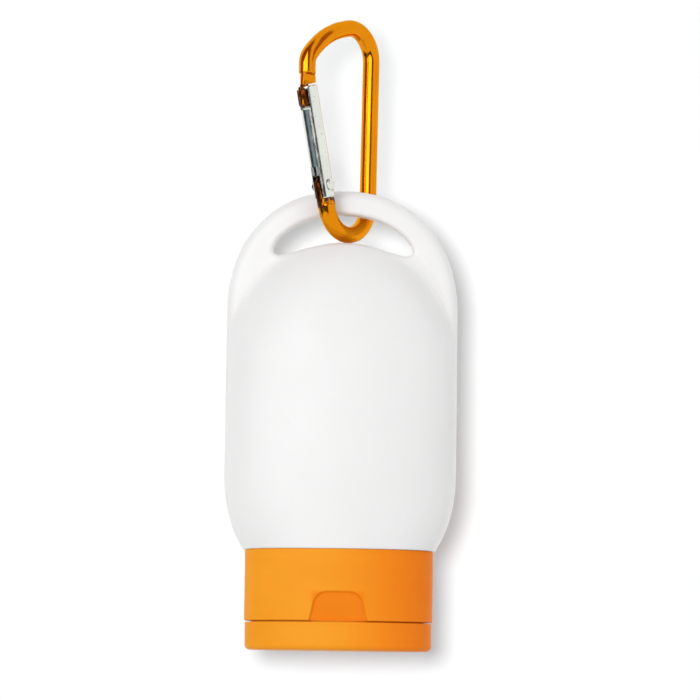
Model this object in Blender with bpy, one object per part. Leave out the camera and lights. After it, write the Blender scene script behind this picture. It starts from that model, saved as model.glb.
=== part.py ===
"""Travel sunscreen bottle that stands on its flip-top cap, with a snap hook through its moulded handle.

The origin is the centre of the lid's flat face, +Z runs up the bottle's axis, -Y is the front with the
thumb recess, and +X is to the right of that front.
"""

import math

import bmesh
import bpy
from mathutils import Matrix, Vector

MM = 0.001

# Clearances between separate pieces, and how far a cutter runs past the face that it opens
SEAT_GAP = 0.3 * MM
RUNNING_GAP = 0.15 * MM
OVERRUN = 1.0 * MM

# Points this near are one point, and a joined piece is sunk by this share of the wall that it grows from
WELD = 0.00001 * MM
ROOT_SHARE = 1 / 3

# Fineness of the round forms
AROUND = 48
ARC_STEP = math.radians(12)
SMOOTH_ANGLE = math.radians(40)
ROUND_TURNS = tuple(math.radians(degrees) for degrees in (30, 60, 90))

# Lid of the flip-top cap
LID_HEIGHT = 6.15 * MM
LID_WALL = 1.2 * MM
LID_FLOOR = 1.3 * MM
LID_EDGE_ROUND = 1.1 * MM
LID_INSET = 0.2 * MM
BOSS_DIAMETER = 7.2 * MM
SEAL_RING_WALL = 0.8 * MM
SEAL_RING_HEIGHT = 3.5 * MM

# Base of the flip-top cap
CAP_WIDTH = 42.1 * MM
CAP_DEPTH = 25.5 * MM
CAP_OVAL_POWER = 2.2
BASE_HEIGHT = 15.85 * MM
BASE_WALL = 1.3 * MM
BASE_EDGE_ROUND = 0.25 * MM
DECK_THICKNESS = 1.5 * MM
DECK_LIP_HEIGHT = 0.8 * MM
DECK_LIP_WALL = 1.0 * MM
COLLAR_WALL = 1.1 * MM
COLLAR_HEIGHT = 10.5 * MM
SNAP_RIB_HEIGHT = 1.2 * MM
SPOUT_DIAMETER = 8.6 * MM
SPOUT_DROP = 2.0 * MM
ORIFICE_DIAMETER = 6.5 * MM

# Thumb recess in the front of the base
RECESS_WIDTH = 13.2 * MM
RECESS_TOP_WIDTH = 10.2 * MM
RECESS_HEIGHT = 6.6 * MM
RECESS_CORNER = 2.6 * MM
RECESS_DEPTH = 1.45 * MM
RECESS_TOP_DEPTH = 0.7 * MM
RECESS_BACKING = 1.3 * MM

# Moulded hinge at the back: one film between two snap straps
HINGE_POCKET_DEPTH = 0.75 * MM
HINGE_POCKET_HEIGHT = 4.8 * MM
FILM_WIDTH = 6.4 * MM
FILM_THICKNESS = 0.45 * MM
FILM_WEB = 0.2 * MM
FILM_GROOVE_HEIGHT = 1.0 * MM
STRAP_WIDTH = 1.7 * MM

# Neck of the bottle and its sealing ring
NECK_DIAMETER = 17.0 * MM
NECK_WALL = 1.7 * MM
NECK_BEAD_PROUD = 0.6 * MM
NECK_BEAD_HEIGHT = 1.2 * MM
NECK_BEAD_LIFT = 1.8 * MM
SEAL_THICKNESS = 1.0 * MM
SEAL_HOLE_DIAMETER = 10.0 * MM

# Blow-moulded bottle
BODY_WIDTH = 52.0 * MM
BODY_DEPTH = 28.0 * MM
BODY_HEIGHT = 80.9 * MM
BODY_WALL = 1.0 * MM
FOOT_OVERHANG = 0.5 * MM
SHOULDER_HEIGHT = 16.8 * MM
SHOULDER_THICKNESS = 1.4 * MM
SHOULDER_ARC_SHARE = 0.785
DOME_HEIGHT = 28.1 * MM
DOME_POWER = 2.2
BELLY_OVAL_POWER = 2.2
BELLY_DRAW_IN = 39.5 * MM
BELLY_DRAW_IN_POWER = 1.7
BELLY_TAPER = 45.5 * MM
BELLY_TAPER_POWER = 2.0
BELLY_TOP_DROP = 11.3 * MM
CROWN_WALL = 2.8 * MM
RIM_THICKNESS = 5.2 * MM
RIM_BLEND_POWER = 5.0
COLUMN_WIDTH_SHARES = (0.45, 0.93)
BELLY_COLUMNS = 9
RIM_COLUMNS = 5
SHOULDER_LEVELS = 6
STRAIGHT_LEVELS = 6
DOME_LEVELS = 17
CAVITY_LEVELS = 15

# Crescent hole under the handle bar
BAR_HEIGHT = 5.45 * MM
HOLE_HEIGHT = 6.6 * MM
HOLE_BEND_RADIUS = 24.2 * MM
HOLE_HALF_ANGLE = math.radians(40)
HOLE_TAPER_POWER = 3.0
HOLE_EDGE_ROUND = 0.9 * MM
HOLE_STEPS = 18

# Snap hook bent from round bar: outer sizes, then the corners of its centre line
WIRE_DIAMETER = 3.8 * MM
WIRE_SIDES = 16
HOOK_LENGTH = 51.1 * MM
HOOK_BEND_RADIUS = 7.3 * MM
NOSE_SIDE_REACH = 14.48 * MM
SPINE_SIDE_REACH = 8.06 * MM
SPINE_CORNER_RADIUS = 6.8 * MM
CROWN_CORNER_RADIUS = 23.0 * MM
NOSE_CORNER_RADIUS = 3.75 * MM
SPINE_CORNER_HEIGHT_SHARE = 1.0448
CROWN_CORNER_HEIGHT_SHARE = 0.9481
NOSE_CORNER_LIFT = 6.44 * MM
CROWN_CORNER_REACH_SHARE = 0.6157
HOOK_TURN = math.radians(50)
HOOK_SIDE_SHIFT = 0.76 * MM
SWING_DROP = 0.5 * MM

# Gate of the hook, its hinge tongue and its nose
GATE_DIAMETER = 4.55 * MM
RIVET_LIFT = 5.2 * MM
GATE_TAIL = 2.8 * MM
GATE_EDGE = 0.25 * MM
GATE_TOP_DROP = 15.265 * MM
TAIL_SLOT_WIDTH = 2.2 * MM
TAIL_SLOT_THROUGH = 1.2 * MM
TAIL_SLOT_TOP = 4.4 * MM
TAIL_SLOT_REACH = 1.45 * MM
NOSE_SLOT_WIDTH = 2.9 * MM
NOSE_SLOT_LENGTH = 5.2 * MM
NOSE_SLOT_REACH = 0.45 * MM
NOSE_LIP = 0.6 * MM
SPRING_BORE_DIAMETER = 2.7 * MM
SPRING_BORE_SHARE = 0.6
FLAT_WIDTH = 4.4 * MM
NOSE_FLAT_THICKNESS = 1.05 * MM
NOSE_FLAT_LENGTH = 2.6 * MM
NOSE_FLAT_SHIFT = 0.33 * MM
NOSE_NECK_WIDTH = 1.8 * MM
TEE_BAR_HEIGHT = 1.9 * MM
TEE_BAR_WIDTH = 2.3 * MM
TONGUE_THICKNESS = 1.6 * MM
TONGUE_TOP = 1.85 * MM
TONGUE_SHOULDER_DROP = 4.35 * MM
TONGUE_NECK_REACH = 1.2 * MM
FLAT_ROOT = 1.2 * MM

# Rivet, spring and pusher of the gate
RIVET_DIAMETER = 1.3 * MM
RIVET_HEAD_DIAMETER = 2.8 * MM
RIVET_HEAD_HEIGHT = 0.5 * MM
RIVET_RIM_SHARE = 0.35
RIVET_HOLE_GAP = 0.15 * MM
SPOT_FACE_DEPTH = 0.3 * MM
SPRING_WIRE = 0.3 * MM
SPRING_DIAMETER = 2.2 * MM
SPRING_TURNS = 8
SPRING_POINTS_PER_TURN = 9
PUSHER_HEAD_SHARE = 0.113
PUSHER_STEM_DIAMETER = 1.1 * MM
PUSHER_STEM_SHARE = 0.14

# Heights that follow from the sizes above
BASE_BOTTOM = LID_HEIGHT + SEAT_GAP
DECK_TOP = BASE_BOTTOM + DECK_THICKNESS
BASE_TOP = BASE_BOTTOM + BASE_HEIGHT
PARTING = (LID_HEIGHT + BASE_BOTTOM) / 2
SEAL_BOTTOM = DECK_TOP + SEAT_GAP
NECK_BOTTOM = SEAL_BOTTOM + SEAL_THICKNESS + SEAT_GAP
BODY_BOTTOM = BASE_TOP + SEAT_GAP
BODY_TOP = BODY_BOTTOM + BODY_HEIGHT
DOME_START = BODY_TOP - DOME_HEIGHT
SHOULDER_END = BODY_BOTTOM + SHOULDER_HEIGHT
BELLY_TOP = BODY_TOP - BELLY_TOP_DROP
BAR_CENTRE = BODY_TOP - BAR_HEIGHT / 2
HOLE_CENTRE = BODY_TOP - BAR_HEIGHT - HOLE_HEIGHT / 2
HOLE_BOTTOM = HOLE_CENTRE - HOLE_HEIGHT / 2

# The oval of the cap and the axis of its hinge
HALF_CAP = Vector((CAP_WIDTH / 2, CAP_DEPTH / 2))
HALF_LID = HALF_CAP - Vector((LID_INSET, LID_INSET))
FILM_FRONT = HALF_CAP.y - HINGE_POCKET_DEPTH + SEAT_GAP
LID_HINGE = Vector((0, FILM_FRONT + FILM_THICKNESS / 2, PARTING))

# The plane of the snap hook: its heights are measured from its swing axis, just under the middle of the bar
WIRE_RADIUS = WIRE_DIAMETER / 2
SWING_HEIGHT = BAR_CENTRE - SWING_DROP
HOOK_BOTTOM = HOLE_BOTTOM + SEAT_GAP + WIRE_RADIUS - SWING_HEIGHT
HOOK_RISE = HOOK_LENGTH - WIRE_DIAMETER
HOOK_PIVOT = Vector((HOOK_SIDE_SHIFT, 0, SWING_HEIGHT))


def clear_scene():
    for obj in list(bpy.data.objects):
        bpy.data.objects.remove(obj, do_unlink=True)


def material(name, colour, roughness, metallic=0.0):
    made = bpy.data.materials.new(name)
    made.use_nodes = True
    shader = made.node_tree.nodes["Principled BSDF"]
    shader.inputs["Base Color"].default_value = (*colour, 1.0)
    shader.inputs["Roughness"].default_value = roughness
    shader.inputs["Metallic"].default_value = metallic
    made.diffuse_color = (*colour, 1.0)
    return made


def mesh_object(name, bm):
    """A new object that holds the shape in bm, with its faces turned outwards."""
    bmesh.ops.remove_doubles(bm, verts=bm.verts, dist=WELD)
    bmesh.ops.recalc_face_normals(bm, faces=bm.faces)
    mesh = bpy.data.meshes.new(name)
    bm.to_mesh(mesh)
    bm.free()
    obj = bpy.data.objects.new(name, mesh)
    bpy.context.scene.collection.objects.link(obj)
    return obj


def loft(name, rings, apex=None):
    """A closed skin through rings of equal count, with flat ends, or drawn to an apex after the last ring."""
    bm = bmesh.new()
    loops = [[bm.verts.new(point) for point in ring] for ring in rings]
    count = len(loops[0])
    for low, high in zip(loops, loops[1:]):
        for i in range(count):
            j = (i + 1) % count
            bm.faces.new((low[i], low[j], high[j], high[i]))
    bm.faces.new(reversed(loops[0]))
    if apex is None:
        bm.faces.new(loops[-1])
    else:
        tip = bm.verts.new(apex)
        for i in range(count):
            bm.faces.new((loops[-1][i], loops[-1][(i + 1) % count], tip))
    return mesh_object(name, bm)


def turned(name, profile, steps=AROUND):
    """A solid of revolution about Z from (radius, height) points, closed or from axis to axis."""
    bm = bmesh.new()
    verts = [bm.verts.new((radius, 0, height)) for radius, height in profile]
    closed = profile[0][0] > 0
    edges = [bm.edges.new((verts[i - 1], verts[i])) for i in range(0 if closed else 1, len(verts))]
    bmesh.ops.spin(
        bm, geom=verts + edges, cent=(0, 0, 0), axis=(0, 0, 1), angle=math.tau, steps=steps, use_merge=True
    )
    return mesh_object(name, bm)


def extruded(name, outline, depth):
    """A plate whose outline of (x, z) points is drawn in the XZ plane and centred on it in thickness."""
    front = [(x, -depth / 2, z) for x, z in outline]
    back = [(x, depth / 2, z) for x, z in outline]
    return loft(name, [front, back])


def box(name, low, high):
    outline = [(low[0], low[2]), (high[0], low[2]), (high[0], high[2]), (low[0], high[2])]
    return loft(name, [[(x, y, z) for x, z in outline] for y in (low[1], high[1])])


def oval(half, z, power=CAP_OVAL_POWER, count=AROUND):
    """A ring of points on a superellipse."""
    points = []
    for i in range(count):
        angle = math.tau * i / count
        cos, sin = math.cos(angle), math.sin(angle)
        x = math.copysign(abs(cos) ** (2 / power), cos) * half[0]
        y = math.copysign(abs(sin) ** (2 / power), sin) * half[1]
        points.append((x, y, z))
    return points


def rounded_path(corners, radii, closed=False):
    """The points of a path through flat corners, each rounded by its radius."""
    points = []
    count = len(corners)
    for i, (corner, radius) in enumerate(zip(corners, radii)):
        if not closed and i in (0, count - 1):
            points.append(corner)
            continue
        to_last = (corners[i - 1] - corner).normalized()
        to_next = (corners[(i + 1) % count] - corner).normalized()
        half_angle = to_last.angle(to_next) / 2
        centre = corner + (to_last + to_next).normalized() * radius / math.sin(half_angle)
        start = corner + to_last * radius / math.tan(half_angle) - centre
        turn = math.pi - 2 * half_angle
        if to_last.cross(to_next) > 0:
            turn = -turn
        steps = max(2, math.ceil(abs(turn) / ARC_STEP))
        for step in range(steps + 1):
            points.append(centre + Matrix.Rotation(turn * step / steps, 2) @ start)
    return points


def swept_wire(name, path, radius, sides=WIRE_SIDES):
    """A round bar along a path of (x, z) points in the XZ plane."""
    rings = []
    for i, point in enumerate(path):
        along = (path[min(i + 1, len(path) - 1)] - path[max(i - 1, 0)]).normalized()
        ring = []
        for side in range(sides):
            angle = math.tau * side / sides
            across = point + Vector((along.y, -along.x)) * radius * math.cos(angle)
            ring.append((across.x, radius * math.sin(angle), across.y))
        rings.append(ring)
    return loft(name, rings)


def combine(target, other, operation):
    """Joins other to target, or cuts it from target, and takes other out of the scene."""
    modifier = target.modifiers.new(operation.lower(), "BOOLEAN")
    modifier.operation = operation
    modifier.solver = "EXACT"
    modifier.object = other
    bpy.context.view_layer.update()
    graph = bpy.context.evaluated_depsgraph_get()
    result = bpy.data.meshes.new_from_object(target.evaluated_get(graph))
    target.modifiers.clear()
    old = target.data
    target.data = result
    bpy.data.meshes.remove(old)
    result.name = target.name
    bpy.data.objects.remove(other, do_unlink=True)


def join(target, other):
    combine(target, other, "UNION")


def cut(target, cutter):
    combine(target, cutter, "DIFFERENCE")


def turn_about_y(obj, angle, centre=(0, 0, 0)):
    """Turns the mesh itself about an axis along Y through centre."""
    spot = Matrix.Translation(centre)
    obj.data.transform(spot @ Matrix.Rotation(angle, 4, "Y") @ spot.inverted())


def move_mesh(obj, shift):
    obj.data.transform(Matrix.Translation(shift))


def set_origin(obj, point):
    """Puts the origin on its joint without moving the shape."""
    move_mesh(obj, -Vector(point))
    obj.location = point


def pivot(name, location, parent=None, turn=(0, 0, 0)):
    empty = bpy.data.objects.new(name, None)
    empty.empty_display_size = WIRE_DIAMETER
    empty.location = location
    empty.rotation_euler = turn
    empty.parent = parent
    bpy.context.scene.collection.objects.link(empty)
    return empty


def finish(obj, look, parent=None):
    obj.parent = parent
    obj.data.materials.clear()
    obj.data.materials.append(look)
    if obj.type == "MESH":
        obj.data.shade_smooth()
        obj.data.set_sharp_from_angle(angle=SMOOTH_ANGLE)
    return obj


def shoulder_share(z):
    """How far the shoulder has swelled at height z, from 0 at the foot to 1 where the sides run straight."""
    along = min(max((z - BODY_BOTTOM) / SHOULDER_HEIGHT, 0), 1)
    start = math.sqrt(1 - SHOULDER_ARC_SHARE**2)
    here = math.sqrt(1 - ((1 - along) * SHOULDER_ARC_SHARE) ** 2)
    return (here - start) / (1 - start)


def drawn_in(z, start, top, power):
    """A share that falls from 1 at height start to 0 at height top."""
    along = min(max((z - start) / (top - start), 0), 1)
    return math.sqrt(1 - along**power)


def outline_half_width(z):
    foot = HALF_CAP.x + FOOT_OVERHANG
    swelled = foot + (BODY_WIDTH / 2 - foot) * shoulder_share(z)
    along = min(max((z - DOME_START) / DOME_HEIGHT, 0), 1)
    return swelled * (1 - along**DOME_POWER) ** (1 / DOME_POWER)


def belly_half_size(z, inset=0, top=BELLY_TOP):
    """Half the belly's width and depth at height z, less the inset, drawn to nothing at its top."""
    foot_depth = HALF_CAP.y + FOOT_OVERHANG
    depth = foot_depth + (BODY_DEPTH / 2 - foot_depth) * shoulder_share(z)
    width = HALF_CAP.x + FOOT_OVERHANG
    width += (BODY_WIDTH / 2 - width) * shoulder_share(z)
    width = (width - inset) * drawn_in(z, BODY_TOP - BELLY_DRAW_IN, top, BELLY_DRAW_IN_POWER)
    depth = (depth - inset) * drawn_in(z, BODY_TOP - BELLY_TAPER, top, BELLY_TAPER_POWER)
    return Vector((width, depth))


def rim_half_depth(x, z):
    """Half the thickness of the flat rim, rounded over where it meets the outline of the bottle."""
    radius = RIM_THICKNESS / 2
    side = outline_half_width(min(z, DOME_START))
    across = abs(x) / side
    up = max(z - DOME_START, 0) / DOME_HEIGHT
    level = (across**DOME_POWER + up**DOME_POWER) ** (1 / DOME_POWER)
    if level == 0:
        return radius
    slope_x = (across / level) ** (DOME_POWER - 1) / side
    slope_z = (up / level) ** (DOME_POWER - 1) / DOME_HEIGHT
    inward = max(1 - level, 0) / math.hypot(slope_x, slope_z)
    return math.sqrt(max(radius**2 - max(radius - inward, 0) ** 2, 0))


def skin_half_depth(x, z):
    """Half the bottle's thickness in Y: the belly and the rim, blended where they meet."""
    half = belly_half_size(z)
    belly = 0
    if abs(x) < half.x:
        belly = half.y * (1 - (abs(x) / half.x) ** BELLY_OVAL_POWER) ** (1 / BELLY_OVAL_POWER)
    rim = rim_half_depth(x, z)
    return (belly**RIM_BLEND_POWER + rim**RIM_BLEND_POWER) ** (1 / RIM_BLEND_POWER)


def column_places(z):
    """The x places of one half of a section: out to the belly's edge, then over the rim to the outline."""
    outer = outline_half_width(z)
    low, high = (share * outer for share in COLUMN_WIDTH_SHARES)
    edge = min(max(belly_half_size(z).x, low), high)
    quarter = math.pi / 2
    belly = [edge * math.sin(quarter * i / BELLY_COLUMNS) for i in range(BELLY_COLUMNS)]
    rim = [edge + (outer - edge) * math.sin(quarter * i / RIM_COLUMNS) for i in range(RIM_COLUMNS)]
    return belly + rim, outer


def body_section(z):
    places, outer = column_places(z)
    across = [-x for x in reversed(places[1:])] + places
    front = [(x, -skin_half_depth(x, z), z) for x in across]
    back = [(x, skin_half_depth(x, z), z) for x in reversed(across)]
    return [(-outer, 0, z)] + front + [(outer, 0, z)] + back


def body_levels():
    shoulder = [BODY_BOTTOM + SHOULDER_HEIGHT * i / SHOULDER_LEVELS for i in range(SHOULDER_LEVELS)]
    straight = [
        SHOULDER_END + (DOME_START - SHOULDER_END) * i / STRAIGHT_LEVELS for i in range(STRAIGHT_LEVELS)
    ]
    dome = [
        DOME_START + DOME_HEIGHT * math.sin(math.pi / 2 * i / DOME_LEVELS) ** (2 / DOME_POWER)
        for i in range(DOME_LEVELS)
    ]
    return shoulder + straight + dome


def belly_cavity():
    """The hollow for the lotion, one wall inside the belly."""
    low = BODY_BOTTOM + SHOULDER_THICKNESS
    high = BELLY_TOP - CROWN_WALL
    rings = []
    for i in range(CAVITY_LEVELS):
        z = low + (high - low) * math.sin(math.pi / 2 * i / CAVITY_LEVELS)
        half = belly_half_size(z, BODY_WALL, high)
        rings.append(oval(half, z, BELLY_OVAL_POWER))
    return loft("belly_cavity", rings, apex=(0, 0, high))


def crescent(grow, y):
    """The outline of the handle hole, widened by grow, at depth y."""
    bend_centre = HOLE_CENTRE - HOLE_BEND_RADIUS
    end = HOLE_HALF_ANGLE + grow / HOLE_BEND_RADIUS
    upper, lower = [], []
    for i in range(HOLE_STEPS + 1):
        share = math.sin(math.pi / 2 * (2 * i / HOLE_STEPS - 1))
        angle = end * share
        half = (HOLE_HEIGHT / 2 + grow) * math.sqrt(1 - abs(share) ** HOLE_TAPER_POWER)
        for side, radius in ((upper, HOLE_BEND_RADIUS + half), (lower, HOLE_BEND_RADIUS - half)):
            side.append((radius * math.sin(angle), y, bend_centre + radius * math.cos(angle)))
    return upper + lower[-2:0:-1]


def hole_cutter():
    """The crescent runs through the bottle and flares at both faces, which rounds the edges of the hole."""
    straight = RIM_THICKNESS / 2 - HOLE_EDGE_ROUND
    past = BODY_DEPTH / 2
    flare = [
        (HOLE_EDGE_ROUND * (1 - math.cos(turn)), straight + HOLE_EDGE_ROUND * math.sin(turn))
        for turn in ROUND_TURNS
    ]
    half = [(0, straight)] + flare
    layers = [(half[-1][0], -past)] + [(grow, -y) for grow, y in reversed(half)]
    layers += half + [(half[-1][0], past)]
    return loft("hole_cutter", [crescent(grow, y) for grow, y in layers])


def neck_profile():
    radius = NECK_DIAMETER / 2
    bead = NECK_BOTTOM + NECK_BEAD_LIFT
    proud = radius + NECK_BEAD_PROUD
    top = BODY_BOTTOM + SHOULDER_THICKNESS * (1 - ROOT_SHARE)
    return [
        (0, NECK_BOTTOM),
        (radius, NECK_BOTTOM),
        (radius, bead - NECK_BEAD_PROUD),
        (proud, bead),
        (proud, bead + NECK_BEAD_HEIGHT),
        (radius, bead + NECK_BEAD_HEIGHT),
        (radius, top),
        (0, top),
    ]


def make_bottle_body(look):
    """Blow-moulded shell: oval belly, thin rim that carries on into the handle, and a round neck."""
    body = loft("bottle_body", [body_section(z) for z in body_levels()], apex=(0, 0, BODY_TOP))
    join(body, turned("neck_blank", neck_profile()))
    cut(body, belly_cavity())
    bore = NECK_DIAMETER / 2 - NECK_WALL
    low, high = NECK_BOTTOM - OVERRUN, BODY_BOTTOM + SHOULDER_THICKNESS + OVERRUN
    cut(body, turned("neck_bore", [(0, low), (bore, low), (bore, high), (0, high)]))
    cut(body, hole_cutter())
    return finish(body, look)


def make_neck_seal(look):
    inner, outer = SEAL_HOLE_DIAMETER / 2, NECK_DIAMETER / 2
    low, high = SEAL_BOTTOM, SEAL_BOTTOM + SEAL_THICKNESS
    seal = turned("neck_seal", [(inner, low), (outer, low), (outer, high), (inner, high)])
    return finish(seal, look)


def inset_oval(half, inset, z):
    return oval(half - Vector((inset, inset)), z)


def collar_profile():
    """Sleeve that grips the neck, with a snap rib that holds the neck's bead down."""
    bore = NECK_DIAMETER / 2 + NECK_BEAD_PROUD + SEAT_GAP
    rib = NECK_DIAMETER / 2 + SEAT_GAP
    rib_low = NECK_BOTTOM + NECK_BEAD_LIFT + NECK_BEAD_HEIGHT + SEAT_GAP
    rib_high = rib_low + SNAP_RIB_HEIGHT
    outer = bore + COLLAR_WALL
    low, high = DECK_TOP - DECK_THICKNESS * ROOT_SHARE, DECK_TOP + COLLAR_HEIGHT
    return [
        (bore, low),
        (outer, low),
        (outer, high),
        (bore, high),
        (bore, rib_high + bore - rib),
        (rib, rib_high),
        (rib, rib_low),
        (bore, rib_low),
    ]


def recess_ring(y_of_height, shrink):
    """The outline of the thumb recess, run down past the parting line, on a front or floor plane."""
    low, high = BASE_BOTTOM - OVERRUN, BASE_BOTTOM + RECESS_HEIGHT - shrink
    spread = (RECESS_WIDTH - RECESS_TOP_WIDTH) / 2 * OVERRUN / RECESS_HEIGHT
    wide, narrow = RECESS_WIDTH / 2 + spread - shrink, RECESS_TOP_WIDTH / 2 - shrink
    corners = [Vector((-wide, low)), Vector((wide, low)), Vector((narrow, high)), Vector((-narrow, high))]
    foot = RUNNING_GAP
    path = rounded_path(corners, (foot, foot, RECESS_CORNER, RECESS_CORNER), closed=True)
    return [(point.x, y_of_height(point.y), point.y) for point in path]


def recess_cutter():
    def floor(z):
        share = (z - BASE_BOTTOM) / RECESS_HEIGHT
        return -HALF_CAP.y + RECESS_DEPTH + (RECESS_TOP_DEPTH - RECESS_DEPTH) * share

    def front(_):
        return -HALF_CAP.y - OVERRUN

    return loft("recess_cutter", [recess_ring(front, 0), recess_ring(floor, RECESS_TOP_DEPTH)])


def hinge_pocket():
    half_width = FILM_WIDTH / 2 + STRAP_WIDTH + 2 * SEAT_GAP
    front = HALF_CAP.y - HINGE_POCKET_DEPTH
    low, high = PARTING - HINGE_POCKET_HEIGHT / 2, PARTING + HINGE_POCKET_HEIGHT / 2
    return box("hinge_pocket", (-half_width, front, low), (half_width, HALF_CAP.y + OVERRUN, high))


def make_cap_base(look):
    """Oval skirt under a deck with the spout, the collar for the neck, and the thumb recess."""
    rings = [
        inset_oval(HALF_CAP, BASE_EDGE_ROUND, BASE_BOTTOM),
        inset_oval(HALF_CAP, 0, BASE_BOTTOM + BASE_EDGE_ROUND),
        inset_oval(HALF_CAP, 0, BASE_TOP - BASE_EDGE_ROUND),
        inset_oval(HALF_CAP, BASE_EDGE_ROUND, BASE_TOP),
    ]
    base = loft("cap_base", rings)
    hollow = [inset_oval(HALF_CAP, BASE_WALL, z) for z in (DECK_TOP, BASE_TOP + OVERRUN)]
    cut(base, loft("skirt_hollow", hollow))
    join(base, turned("collar", collar_profile()))
    collar_outer = collar_profile()[1][0]
    backing = RECESS_WIDTH / 2 + RECESS_BACKING
    join(
        base,
        box(
            "recess_backing",
            (-backing, -HALF_CAP.y + BASE_WALL / 2, DECK_TOP - DECK_THICKNESS * ROOT_SHARE),
            (backing, -collar_outer + COLLAR_WALL / 2, BASE_BOTTOM + RECESS_HEIGHT + RECESS_BACKING),
        ),
    )
    join_deck_lip(base)
    spout = SPOUT_DIAMETER / 2
    low, high = BASE_BOTTOM - SPOUT_DROP, BASE_BOTTOM + DECK_THICKNESS * ROOT_SHARE
    join(base, turned("spout", [(0, low), (spout, low), (spout, high), (0, high)]))
    orifice = ORIFICE_DIAMETER / 2
    low, high = low - OVERRUN, DECK_TOP + OVERRUN
    cut(base, turned("orifice", [(0, low), (orifice, low), (orifice, high), (0, high)]))
    cut(base, recess_cutter())
    cut(base, hinge_pocket())
    return finish(base, look)


def join_deck_lip(base):
    """Low oval wall under the deck that the closed lid fits around."""
    outer = LID_INSET + LID_WALL + SEAT_GAP
    low, high = BASE_BOTTOM - DECK_LIP_HEIGHT, BASE_BOTTOM + DECK_THICKNESS * ROOT_SHARE
    lip = loft("deck_lip", [inset_oval(HALF_CAP, outer, z) for z in (low, high)])
    inner = outer + DECK_LIP_WALL
    hollow = [inset_oval(HALF_CAP, inner, z) for z in (low - OVERRUN, BASE_BOTTOM)]
    cut(lip, loft("lip_hollow", hollow))
    join(base, lip)


def make_cap_lid(look):
    """Shallow oval lid with a low boss that covers the spout's mouth and a ring that closes round it."""
    edge = LID_EDGE_ROUND
    rings = []
    for turn in (0, *ROUND_TURNS):
        rings.append(inset_oval(HALF_LID, edge * (1 - math.sin(turn)), edge * (1 - math.cos(turn))))
    rings.append(inset_oval(HALF_LID, 0, LID_HEIGHT))
    lid = loft("cap_lid", rings)
    hollow = [inset_oval(HALF_LID, LID_WALL, z) for z in (LID_FLOOR, LID_HEIGHT + OVERRUN)]
    cut(lid, loft("lid_hollow", hollow))
    root = LID_FLOOR / 2
    boss, boss_top = BOSS_DIAMETER / 2, BASE_BOTTOM - SPOUT_DROP - SEAT_GAP
    join(lid, turned("boss", [(0, root), (boss, root), (boss, boss_top), (0, boss_top)]))
    inner = SPOUT_DIAMETER / 2 + SEAT_GAP
    outer = inner + SEAL_RING_WALL
    top = LID_FLOOR + SEAL_RING_HEIGHT
    join(lid, turned("seal_ring", [(inner, root), (outer, root), (outer, top), (inner, top)]))
    cut(lid, hinge_pocket())
    set_origin(lid, LID_HINGE)
    return finish(lid, look)


def hinge_strip(name, centre_x, width, look):
    """A strip across the parting line, thinned to a web where it bends."""
    reach = HINGE_POCKET_HEIGHT / 2 - SEAT_GAP
    groove = FILM_GROOVE_HEIGHT / 2
    back = FILM_FRONT + FILM_THICKNESS
    web = FILM_FRONT + FILM_WEB
    profile = [
        (FILM_FRONT, PARTING - reach),
        (back, PARTING - reach),
        (back, PARTING - groove),
        (web, PARTING),
        (back, PARTING + groove),
        (back, PARTING + reach),
        (FILM_FRONT, PARTING + reach),
    ]
    ends = (centre_x - width / 2, centre_x + width / 2)
    return finish(loft(name, [[(x, y, z) for y, z in profile] for x in ends]), look)


def make_hinge(look):
    strap_place = FILM_WIDTH / 2 + SEAT_GAP + STRAP_WIDTH / 2
    hinge_strip("hinge_film", 0, FILM_WIDTH, look)
    hinge_strip("snap_strap_left", -strap_place, STRAP_WIDTH, look)
    hinge_strip("snap_strap_right", strap_place, STRAP_WIDTH, look)


def tangent_touch(point, centre, radius, side):
    """Where a straight line from point touches a circle, on the circle's left (-1) or right (1) side."""
    away = point - centre
    turn = math.acos(radius / away.length)
    return centre + Matrix.Rotation(-side * turn, 2) @ away.normalized() * radius


def hook_places():
    """The named places of the snap hook in its own plane, as (across, up) from the handle bar."""
    places = {}
    bottom = HOOK_BOTTOM
    places["bend"] = Vector((0, bottom + HOOK_BEND_RADIUS))
    places["spine_corner"] = Vector((SPINE_SIDE_REACH, bottom + HOOK_RISE * SPINE_CORNER_HEIGHT_SHARE))
    across = -NOSE_SIDE_REACH * CROWN_CORNER_REACH_SHARE
    places["crown_corner"] = Vector((across, bottom + HOOK_RISE * CROWN_CORNER_HEIGHT_SHARE))
    places["gate_top"] = Vector((-NOSE_SIDE_REACH, bottom + HOOK_RISE - GATE_TOP_DROP))
    places["nose_corner"] = places["gate_top"] + Vector((0, NOSE_CORNER_LIFT))
    touch = tangent_touch(places["gate_top"], places["bend"], HOOK_BEND_RADIUS, -1)
    gate_down = (touch - places["gate_top"]).normalized()
    places["gate_foot"] = touch
    places["gate_down"] = gate_down
    places["rivet"] = touch - gate_down * RIVET_LIFT
    places["tongue_shoulder"] = places["rivet"] + gate_down * TONGUE_SHOULDER_DROP
    places["spine_foot"] = tangent_touch(places["spine_corner"], places["bend"], HOOK_BEND_RADIUS, 1)
    return places


def gate_reach(places):
    """How far the gate stands above its rivet."""
    return (places["gate_top"] - places["rivet"]).length


def gate_lean(places):
    """The angle about Y that turns upright onto the closed gate."""
    return math.atan2(-places["gate_down"].x, -places["gate_down"].y)


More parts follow.
